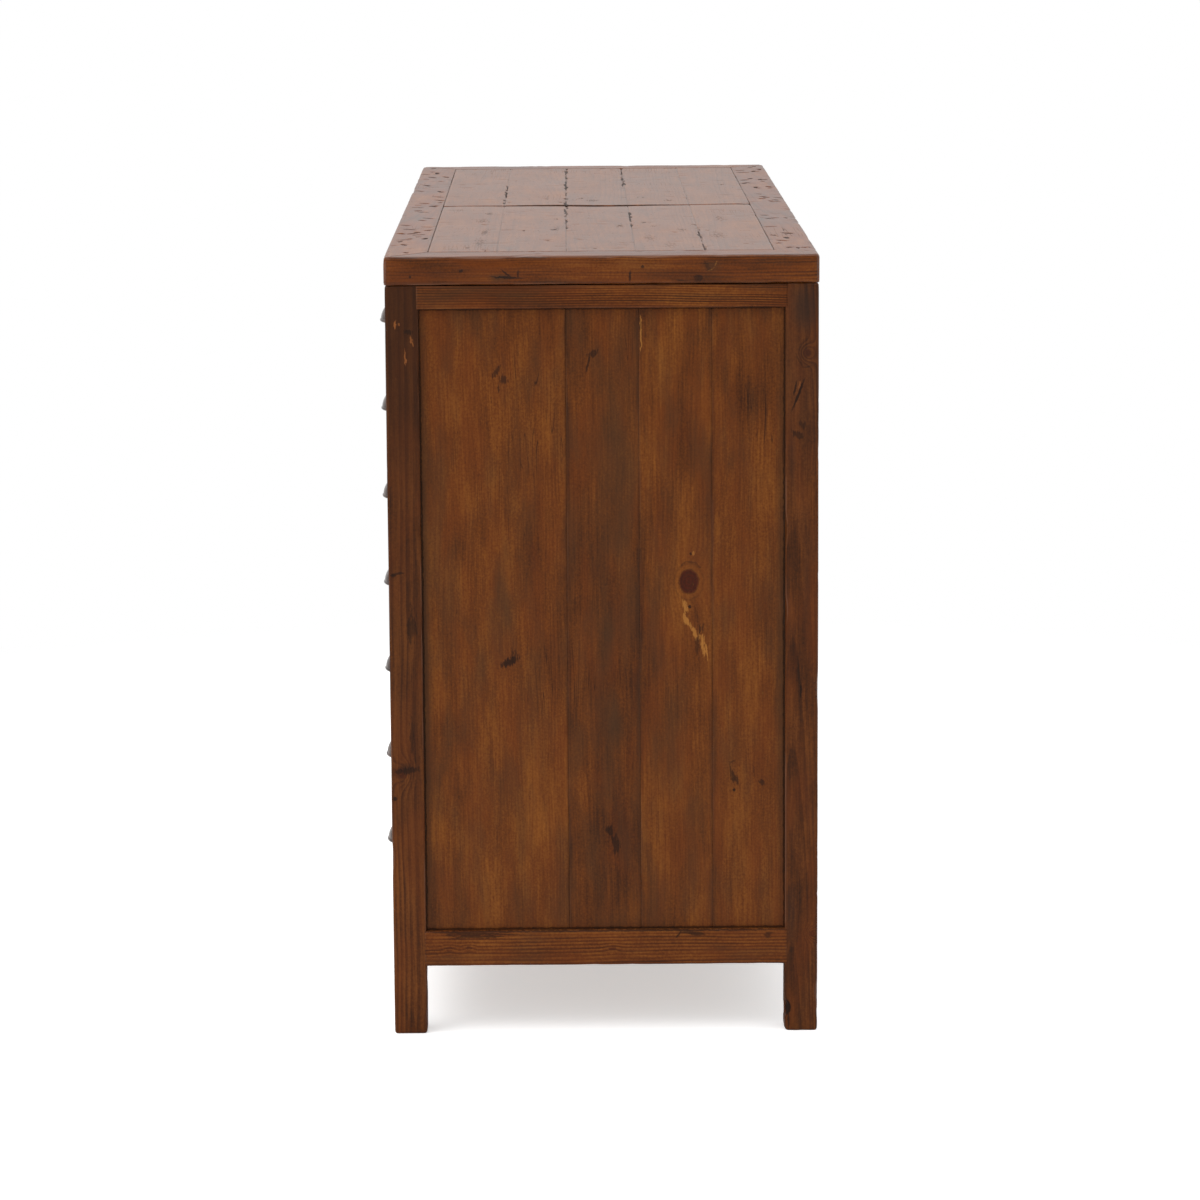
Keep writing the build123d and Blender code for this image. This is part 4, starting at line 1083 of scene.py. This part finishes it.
def scarTop():
    draw = np.random.default_rng(77)
    pick = picker(draw, topScars)
    x, front, back, highZ = slab["x"], slab["frontY"], slab["backY"], slab["z"][1]
    fieldFront, fieldBack = slab["fieldY"]
    frontEdge, backEdge = topScars["railEdges"]
    for name, lowY, highY in (("top_front_rail", front, fieldFront), ("top_back_rail", fieldBack, back)):
        for number in range(topScars["perRail"]):
            middle = draw.uniform(topScars["railEnds"] - x, x - topScars["railEnds"])
            centre = (middle, draw.uniform(lowY + frontEdge, highY - backEdge), highZ)
            size = (pick("length"), pick("width"), topScars["reach"])
            turn = pick("turn")
            carve(pieces[name], centre, size, pick("depth"), down, topScars["mark"], turn)
    for name, along, out in (
        ("top_front_rail", 0, front), ("top_back_rail", 0, back),
        ("top_right_rail", 1, x), ("top_left_rail", 1, -x),
    ):
        inward = [0.0, 0.0, -topScars["nickLean"]]
        inward[1 - along] = -math.copysign(topScars["nickLean"], out)
        span = (-x, x) if along == 0 else (front, back)
        for number in range(topScars["nicks"]):
            centre = [0.0, 0.0, highZ - pick("nickDrop")]
            centre[along] = draw.uniform(*span)
            centre[1 - along] = out
            size = [topScars["nickSize"]] * 3
            size[along] = pick("nickLength")
            carve(pieces[name], centre, size, pick("nickDepth"), inward, pick("nickMark"))
    pitch = (fieldBack - fieldFront) / slab["boards"]
    boards = pieces["top_boards_wood"]
    for number, start, end in topScars["openJoints"]:
        place = start
        while place < end:
            step = pick("jointStep")
            centre = (place, fieldFront + number * pitch + pick("jointWander"), highZ)
            size = (step * topScars["jointOverlap"], pick("jointWidth"), topScars["jointReach"])
            carve(boards, centre, size, pick("jointDepth"), down, pick("jointMark"))
            place += step
    place = fieldFront
    while place < fieldBack:  # worn ends of the boards, where they meet in the middle
        step = pick("endStep")
        size = (pick("endWidth"), step, topScars["endReach"])
        carve(boards, (0.0, place, highZ), size, topScars["endDepth"], down, pick("endMark"))
        place += step
    bendJoint(boards["co"])
    edge = topScars["fieldEdges"]
    for number in range(topScars["boardScars"]):
        centre = (pick("boardX"), draw.uniform(fieldFront + edge, fieldBack - edge), highZ)
        size = (pick("boardLength"), pick("boardWidth"), topScars["reach"])
        carve(boards, centre, size, pick("boardDepth"), down, pick("boardMark"), pick("boardTurn"))
    radius, arris = topScars["cornerRadius"], topScars["arris"]
    middle = np.array([0.0, (front + back) / 2])
    core = np.array([x, (back - front) / 2]) - radius
    for name in ("top_front_rail", "top_back_rail", "top_right_rail", "top_left_rail"):  # rounded corners
        co = pieces[name]["co"] / mm
        offset = co[:, :2] - middle
        over = np.maximum(np.abs(offset) - core, 0.0)
        reach = np.linalg.norm(over, axis=1)
        past = np.maximum(reach - radius + arris, 0.0)
        rise = np.maximum(co[:, 2] - highZ + arris, 0.0)
        shrink = np.minimum(arris / np.maximum(np.hypot(past, rise), arris), 1.0)
        newReach = np.where(past > 0, radius - arris + past * shrink, reach)
        co[:, 2] += rise * (shrink - 1)
        over *= (newReach / np.maximum(reach, 0.001))[:, None]
        co[:, :2] = middle + np.sign(offset) * (np.minimum(np.abs(offset), core) + over)
        pieces[name]["co"] = (co * mm).astype(np.float32)


footScars = {
    "count": 9, "nearFloor": 4, "lowZ": (0.0, 60.0), "highZ": (60.0, 800.0), "reach": (4.0, 10.0),
    "tall": (6.0, 26.0), "depth": (0.8, 2.4), "mark": (0.0, 0.5),
}
footChip = {"z": 26.0, "size": (16.0, 7.0, 11.0), "depth": 4.5, "way": (-0.3, 1.0, 0.0), "mark": 0.7}


def scarPosts():
    draw = np.random.default_rng(91)
    pick = picker(draw, footScars)
    for depth in ("front", "back"):
        for side in ("left", "right"):
            piece = pieces[f"{depth}_{side}_post_wood"]
            low, high = [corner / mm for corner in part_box(f"{depth}_{side}_post")]
            middle = (low + high) * 0.5
            for number in range(footScars["count"]):
                edgeX = draw.choice((low.x, high.x))
                edgeY = draw.choice((low.y, high.y))
                height = pick("lowZ" if number < footScars["nearFloor"] else "highZ")
                inward = Vector((middle.x - edgeX, middle.y - edgeY, 0.0)).normalized()
                reach = pick("reach")
                size = (reach, reach, pick("tall"))
                carve(piece, (edgeX, edgeY, height), size, pick("depth"), inward, pick("mark"))
    centre = (plan["sideX"], plan["backPostFrontY"], footChip["z"])  # a chip out of the photographed foot
    chip = [footChip[word] for word in ("size", "depth", "way", "mark")]
    carve(pieces["back_right_post_wood"], centre, *chip)


knotLook = {
    "chance": 0.45, "radius": (4.0, 8.5), "stretch": 1.3,
    "skip": (  # seen in the photograph: only the knots of their marks
        "right_side_panel_board", "top_right_rail", "side_", "front_right_post_wood", "back_right_post_wood",
    ),
}


def addKnots():  # round knots on faces that have none of their own, one board at a time
    draw = np.random.default_rng(55)
    for name, piece in pieces.items():
        if name.startswith(knotLook["skip"]) or name.endswith("_box"):
            continue
        for number in range(piece["board"].max() + 1):
            mine = np.flatnonzero(piece["board"] == number)
            if draw.random() > knotLook["chance"]:
                continue
            centre = piece["co"][draw.choice(mine)]
            size = draw.uniform(*knotLook["radius"]) * mm
            way = piece["boards"][number][1].to_3x3().col[0]
            offset = piece["co"][mine] - centre
            along = offset @ np.array(way)
            across = np.maximum((offset ** 2).sum(1) - along ** 2, 0.0)
            far = np.sqrt(across + (along / knotLook["stretch"]) ** 2) / size
            piece["knot"][mine] = np.minimum(piece["knot"][mine], far)


boxSides = [(0, 3, 2, 1), (4, 5, 6, 7), (0, 1, 5, 4), (1, 2, 6, 5), (2, 3, 7, 6), (3, 0, 4, 7)]
tailValues = {"edgeDist": 0.01, "tone": 0.02, "knot": noKnot, "mark": 0.0, "board": 99}


def addPrism(piece, corners):  # eight corners, four below and four above, with the grain along y
    start = len(piece["co"])
    corners = np.array(corners, np.float32) * mm
    grain = np.roll(corners - corners.mean(0), -1, axis=1) + np.array([1.0, 0.03, 0.04])
    piece["co"] = np.concatenate([piece["co"], corners])
    piece["faces"] = np.concatenate([piece["faces"], np.array(boxSides) + start])
    piece["grain"] = np.concatenate([piece["grain"], grain.astype(np.float32)])
    for word, value in tailValues.items():
        piece[word] = np.concatenate([piece[word], np.full(8, value, piece[word].dtype)])


def addTails(column, row):
    piece = pieces[f"drawer_{column}_{row}_box"]
    x, y, z = columnX[column], plan["frontY"], floorZ[row - 1]
    height = drawer["sideTop"] - drawer["sideLow"]
    back = y + drawer["frontThick"] + drawer["tailLap"]
    tip = y + drawer["frontThick"] - drawer["tailLength"]
    for side in (-1.0, 1.0):
        inner = drawer["innerHalf"] + drawer["tailInset"]
        near, far = sorted((x + side * inner, x + side * drawer["half"]))
        for share in drawer["tailPlaces"]:
            middle = z + drawer["sideLow"] + share * height
            root, end = drawer["tailRoot"] * height / 2, drawer["tailTip"] * height / 2
            outline = [(tip, middle - end), (back, middle - root), (back, middle + root), (tip, middle + end)]
            corners = [(near, *point) for point in outline] + [(far, *point) for point in outline]
            addPrism(piece, corners)


scarTop()
scarPosts()
addKnots()
for column, row in drawers:
    addTails(column, row)
triangles = [2 * len(piece["faces"]) for piece in pieces.values()]
print("wood: carved,", sum(triangles), "triangles, largest", max(triangles))
for name, piece in pieces.items():
    settlePiece(name, piece)


# Cup pulls: a quarter spindle with a rolled lip, a flange and two ears, from the middle of the lip

pull = {  # millimetres
    "halfWidth": 36.0, "shellRadius": 23.0, "axisInset": 9.0, "wall": 1.8, "lipRadius": 1.9,
    "flangeWidth": 4.5, "flangeThick": 1.6, "earX": 35.75, "earZ": 5.0, "earRadius": 5.5,
    "screwRadius": 3.0, "screwHeight": 1.4, "screwSunk": 0.6, "slotWidth": 0.8, "slotDepth": 0.9,
    "slotPast": 1.0, "height": 50.214, "sunk": 0.3, "soft": 1.0, "lipRun": 1.5, "core": 0.01,
    "screwDome": ((1.0, 0.35), (0.82, 0.78), (0.45, 1.0)),  # shares of the screw's radius and height
    "stations": 41, "turns": 14, "lipSides": 12, "earSides": 24, "screwSides": 28,
}
pullArc = (pull["halfWidth"] ** 2 + pull["shellRadius"] ** 2) / (2 * pull["shellRadius"])


def spindleRadius(x):
    return np.sqrt(pullArc ** 2 - x ** 2) - (pullArc - pull["shellRadius"])


def spindleReach(radius):  # where the spindle has shrunk to this radius
    return math.sqrt(pullArc ** 2 - (radius + pullArc - pull["shellRadius"]) ** 2)


def gridFaces(rows, columns, start=0, flip=False, loop=False):
    faces = []
    for i in range(rows - 1):
        for j in range(columns if loop else columns - 1):
            k = (j + 1) % columns
            face = (i * columns + j, i * columns + k, (i + 1) * columns + k, (i + 1) * columns + j)
            faces.append([start + corner for corner in (face[::-1] if flip else face)])
    return faces


def lathe(profile, centre, sides):  # (radius, y) pairs turned about an axis along y
    points = []
    for radius, y in profile:
        for j in range(sides):
            angle = 2 * math.pi * j / sides
            points.append((centre[0] + radius * math.cos(angle), y, centre[1] + radius * math.sin(angle)))
    return points, gridFaces(len(profile), sides, 0, False, True)


def carried(path, section):  # a closed section carried along a flat path, with its ends capped
    points = []
    for i, (first, second) in enumerate(path):
        before, after = path[max(i - 1, 0)], path[min(i + 1, len(path) - 1)]
        tangent = Vector((after[0] - before[0], after[1] - before[1])).normalized()
        points += [(first - tangent.y * out, second + tangent.x * out, aside) for out, aside in section]
    count = len(section)
    ends = [list(range(count))[::-1], list(range(len(points) - count, len(points)))]
    return points, gridFaces(len(path), count, 0, False, True) + ends


def softEdge(rim):  # from the back of a flange around its edge to its face
    sunk, soft, thick = pull["sunk"], pull["soft"], pull["flangeThick"]
    return [(rim, sunk), (rim, soft - thick), (rim - 0.3 * soft, 0.3 * soft - thick), (rim - soft, -thick)]


def makePullMesh():
    stations, turns = pull["stations"], pull["turns"]
    inset, wall = pull["axisInset"], pull["wall"]
    sunk, thick = pull["sunk"], pull["flangeThick"]
    spread = np.sin(np.linspace(-1, 1, stations) * math.pi / 2)
    points, faces = [], []

    def addPart(newPoints, newFaces):
        start = len(points)
        points.extend(newPoints)
        faces.extend([[start + corner for corner in face] for face in newFaces])

    shell = []
    for thin in (0.0, wall):
        reach = spindleReach(inset + thin)
        for x in spread * reach:
            radius = max(spindleRadius(x) - thin, inset)
            for angle in np.linspace(0, math.acos(inset / radius), turns):
                shell.append((x, inset - radius * math.cos(angle), radius * math.sin(angle)))
    count = stations * turns
    shellFaces = gridFaces(stations, turns) + gridFaces(stations, turns, count, True)
    for i in range(stations - 1):
        for j in (0, turns - 1):
            a, b = i * turns + j, (i + 1) * turns + j
            shellFaces.append([a, b, count + b, count + a] if j else [a, count + a, count + b, b])
    addPart(shell, shellFaces)

    reach = spindleReach(inset + wall / 2)
    path = [(x, inset - spindleRadius(x) + wall / 2) for x in spread * reach]
    path = [(path[0][0], pull["lipRun"])] + path + [(path[-1][0], pull["lipRun"])]
    angles = [2 * math.pi * j / pull["lipSides"] for j in range(pull["lipSides"])]
    circle = [(-math.cos(angle) * pull["lipRadius"], math.sin(angle) * pull["lipRadius"]) for angle in angles]
    addPart(*carried(path, circle))

    reach = spindleReach(inset)
    arch = [(x, math.sqrt(max(spindleRadius(x) ** 2 - inset ** 2, 0.0))) for x in spread * reach]
    section = [(-pull["soft"], sunk), (-pull["soft"], -thick)] + softEdge(pull["flangeWidth"])[::-1]
    band, bandFaces = carried(arch, section)
    addPart([(x, y, z) for x, z, y in band], bandFaces)

    profile = [(pull["core"], sunk)] + softEdge(pull["earRadius"]) + [(pull["core"], -thick)]
    for side in (-1, 1):
        addPart(*lathe(profile, (side * pull["earX"], pull["earZ"]), pull["earSides"]))
    return tidyMesh("cupPull", points, faces)


def tidyMesh(name, points, faces):  # in metres, doubles merged, faces outwards
    mesh = bpy.data.meshes.new(name)
    build = bmesh.new()
    corners = [build.verts.new(Vector(point) * mm) for point in points]
    for face in faces:
        build.faces.new([corners[corner] for corner in face])
    bmesh.ops.remove_doubles(build, verts=build.verts, dist=0.02 * mm)
    bmesh.ops.dissolve_degenerate(build, edges=build.edges, dist=0.01 * mm)
    bmesh.ops.recalc_face_normals(build, faces=build.faces)
    for face in build.faces:
        face.smooth = True
    build.to_mesh(mesh)
    build.free()
    return mesh


def makeScrewObject():  # a domed head with a slot across it
    radius, height, core = pull["screwRadius"], pull["screwHeight"], pull["core"]
    base = -pull["flangeThick"]
    top = base - height
    profile = [(core, base + pull["screwSunk"]), (radius, base + pull["screwSunk"])]
    profile += [(radius * out, base - height * up) for out, up in pull["screwDome"]] + [(core, top)]
    mesh = tidyMesh("screwHead", *lathe(profile, (0.0, 0.0), pull["screwSides"]))
    head = bpy.data.objects.new("screwHead", mesh)
    half, reach = pull["slotWidth"] / 2, radius + pull["slotPast"]
    outline = [(-reach, -half), (reach, -half), (reach, half), (-reach, half)]
    box = [(x, y, z) for y in (top - pull["slotPast"], top + pull["slotDepth"]) for x, z in outline]
    slot = bpy.data.objects.new("screwSlot", tidyMesh("screwSlot", box, boxSides))
    for thing in (head, slot):
        scene.collection.objects.link(thing)
    cut = head.modifiers.new("slot", "BOOLEAN")
    cut.object = slot
    cut.operation = "DIFFERENCE"
    bpy.context.view_layer.update()
    mesh = bpy.data.meshes.new_from_object(head.evaluated_get(bpy.context.evaluated_depsgraph_get()))
    bpy.data.objects.remove(slot)
    head.modifiers.clear()
    head.data = mesh
    return head


pullSockets = (
    ("Geometry", "Geometry"), ("Screw", "Object"), ("Ear X", "Float"), ("Ear Z", "Float"), ("Seed", "Int"),
    ("Material", "Material"),
)


def makePullTree():  # the cup with a screw on each ear, turned at random
    tree, given = startTree("pullWithScrews", pullSockets)
    left = combine(tree, given["Ear X"] * -1.0, 0.0, given["Ear Z"])
    step = combine(tree, given["Ear X"] * 2.0, 0.0, 0.0)
    values = {"Count": 2, "Start Location": left, "Offset": step}
    ears = addNode(tree, "GeometryNodeMeshLine", values)
    screw = tree.nodes.new("GeometryNodeObjectInfo")
    feed(tree, given["Screw"], screw.inputs["Object"])
    chance = tree.nodes.new("FunctionNodeRandomValue")
    chance.data_type = "FLOAT_VECTOR"
    chance.inputs[0].default_value = (0.0, 0.0, 0.0)
    chance.inputs[1].default_value = (0.0, math.pi, 0.0)
    feed(tree, given["Seed"], chance.inputs["Seed"])
    heads, turns = Wire(tree, screw.outputs["Geometry"]), Wire(tree, chance.outputs[0])
    values = {"Points": ears, "Instance": heads, "Rotation": turns}
    screws = addNode(tree, "GeometryNodeInstanceOnPoints", values)
    join = tree.nodes.new("GeometryNodeJoinGeometry")
    for part in (screws, given["Geometry"]):
        tree.links.new(part.socket, join.inputs[0])
    whole = addNode(tree, "GeometryNodeRealizeInstances", {"Geometry": Wire(tree, join.outputs[0])})
    whole = addNode(tree, "GeometryNodeSetMaterial", {"Geometry": whole, "Material": given["Material"]})
    tree.links.new(whole.socket, tree.nodes.new("NodeGroupOutput").inputs[0])
    return tree


def addPulls():
    cup = makePullMesh()
    screw = makeScrewObject()
    tree = makePullTree()
    ids = inputIds(tree)
    columns = list(columnX)
    holders = []
    for column, row in drawers:
        values = {
            "Screw": screw, "Ear X": pull["earX"] * mm, "Ear Z": pull["earZ"] * mm,
            "Seed": 10 * columns.index(column) + row, "Material": agedPewter,
        }
        holders.append(holdTree(tree, ids, cup, values))
    for (column, row), mesh in zip(drawers, freezeHolders(holders)):
        place = Vector((columnX[column], plan["frontY"], floorZ[row - 1] + pull["height"])) * mm
        mesh.transform(Matrix.Translation(place))
        name = f"pull_{column}_{row}"
        placePiece(name + "_metal", mesh, f"{column}_drawer_{row}", [name])
    bpy.data.objects.remove(screw)


addPulls()
print("pulls:", len(drawers), "with two screws each")


# Camera at the photograph's place, in millimetres and degrees

cameraView = {
    "place": (5178.23, -29.06, 1253.68), "pitch": 9.80238, "yaw": 0.40901, "roll": -0.36299,
    "lens": 129.90, "sensor": 36.0,
}


def addCamera():
    pitch, yaw, roll = [math.radians(cameraView[word]) for word in ("pitch", "yaw", "roll")]
    ahead = Vector((-math.cos(pitch) * math.cos(yaw), math.cos(pitch) * math.sin(yaw), -math.sin(pitch)))
    right = ahead.cross(Vector((0, 0, 1))).normalized()
    up = right.cross(ahead)
    rolledRight = right * math.cos(roll) + up * math.sin(roll)
    rolledUp = up * math.cos(roll) - right * math.sin(roll)
    data = bpy.data.cameras.new("camera")
    data.lens = cameraView["lens"]
    data.sensor_width = cameraView["sensor"]
    data.clip_end = 100.0
    camera = bpy.data.objects.new("camera", data)
    scene.collection.objects.link(camera)
    turn = Matrix((rolledRight, rolledUp, -ahead)).transposed().to_4x4()
    camera.matrix_world = Matrix.Translation(Vector(cameraView["place"]) * mm) @ turn
    scene.camera = camera


addCamera()


# Pale floor, white surround and soft light

studio = {
    "floorSize": 30.0, "floorColour": tint(246, 246, 246), "floorLift": 0.50, "whiteFrom": (0.9, 1.9),
    "skyLow": 0.62, "skyHigh": 0.95, "glossLow": 0.20,
}
lamps = {  # place, what it looks at and size in metres, and power
    "keyLight": ((1.8, -2.6, 3.2), (0.2, 0.0, 0.5), (3.0, 2.0), 60.0),
    "topLight": ((0.0, 0.0, 3.4), (0.0, 0.0, 0.8), (2.4, 1.6), 26.0),
}


def addStudio():
    world = bpy.data.worlds.new("surround")
    scene.world = world
    world.use_nodes = True
    tree = world.node_tree
    tree.nodes.clear()
    ray = tree.nodes.new("ShaderNodeLightPath")
    isCamera = Wire(tree, ray.outputs["Is Camera Ray"])
    isGlossy = Wire(tree, ray.outputs["Is Glossy Ray"])
    isThrough = Wire(tree, ray.outputs["Is Transmission Ray"])
    direction = addNode(tree, "ShaderNodeTexCoord", output=0)
    x, y, z = direction.parts()
    sky = z.smooth(0.0, 0.8) * (studio["skyHigh"] - studio["skyLow"]) + studio["skyLow"]
    mirrored = (x * -1.0).smooth(0.0, 0.6).math("MAXIMUM", z.smooth(0.35, 0.8))
    mirrored = mirrored * (1.0 - studio["glossLow"]) + studio["glossLow"]
    strength = sky * isGlossy.flip() + mirrored * isGlossy
    seen = isCamera.math("MAXIMUM", isThrough)
    strength = strength * seen.flip() + seen
    background = tree.nodes.new("ShaderNodeBackground")
    background.inputs["Color"].default_value = (1.0, 1.0, 1.0, 1.0)
    feed(tree, strength, background.inputs["Strength"])
    output = tree.nodes.new("ShaderNodeOutputWorld")
    tree.links.new(background.outputs[0], output.inputs[0])

    material = bpy.data.materials.new("paleFloor")
    material.use_nodes = True
    tree = material.node_tree
    tree.nodes.clear()
    ray = tree.nodes.new("ShaderNodeLightPath")
    isCamera = Wire(tree, ray.outputs["Is Camera Ray"])
    matte = tree.nodes.new("ShaderNodeBsdfDiffuse")
    matte.inputs["Color"].default_value = studio["floorColour"]
    lift = tree.nodes.new("ShaderNodeEmission")
    feed(tree, isCamera * studio["floorLift"], lift.inputs["Strength"])
    both = tree.nodes.new("ShaderNodeAddShader")
    tree.links.new(matte.outputs[0], both.inputs[0])
    tree.links.new(lift.outputs[0], both.inputs[1])
    white = tree.nodes.new("ShaderNodeEmission")  # away from the chest the floor is plain white to the camera
    away = addNode(tree, "ShaderNodeTexCoord", output=3).vector("LENGTH", output=1)
    blend = tree.nodes.new("ShaderNodeMixShader")
    feed(tree, away.smooth(*studio["whiteFrom"]) * isCamera, blend.inputs[0])
    tree.links.new(both.outputs[0], blend.inputs[1])
    tree.links.new(white.outputs[0], blend.inputs[2])
    output = tree.nodes.new("ShaderNodeOutputMaterial")
    tree.links.new(blend.outputs[0], output.inputs[0])
    half = studio["floorSize"] / 2
    mesh = bpy.data.meshes.new("floor")
    corners = [(-half, -half, 0), (half, -half, 0), (half, half, 0), (-half, half, 0)]
    mesh.from_pydata(corners, [], [(0, 1, 2, 3)])
    mesh.materials.append(material)
    floor = bpy.data.objects.new("floor", mesh)
    scene.collection.objects.link(floor)


def addLamp(name, place, target, size, power):
    lamp = bpy.data.lights.new(name, "AREA")
    lamp.shape = "RECTANGLE"
    lamp.size, lamp.size_y = size
    lamp.energy = power
    thing = bpy.data.objects.new(name, lamp)
    scene.collection.objects.link(thing)
    aim = (Vector(target) - Vector(place)).to_track_quat("-Z", "Y").to_matrix().to_4x4()
    thing.matrix_world = Matrix.Translation(place) @ aim


addStudio()
for name, lamp in lamps.items():
    addLamp(name, *lamp)
print("studio: camera, floor and light")

cadFinish = {  # pieces that keep their CAD shapes
    "drawer_runners": runnerPine, "drawer_guides": runnerPine, "drawer_stops": runnerPine,
    "top_screws": screwSteel,
}
for name, material in cadFinish.items():
    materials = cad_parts[name].data.materials
    materials.clear()
    materials.append(material)
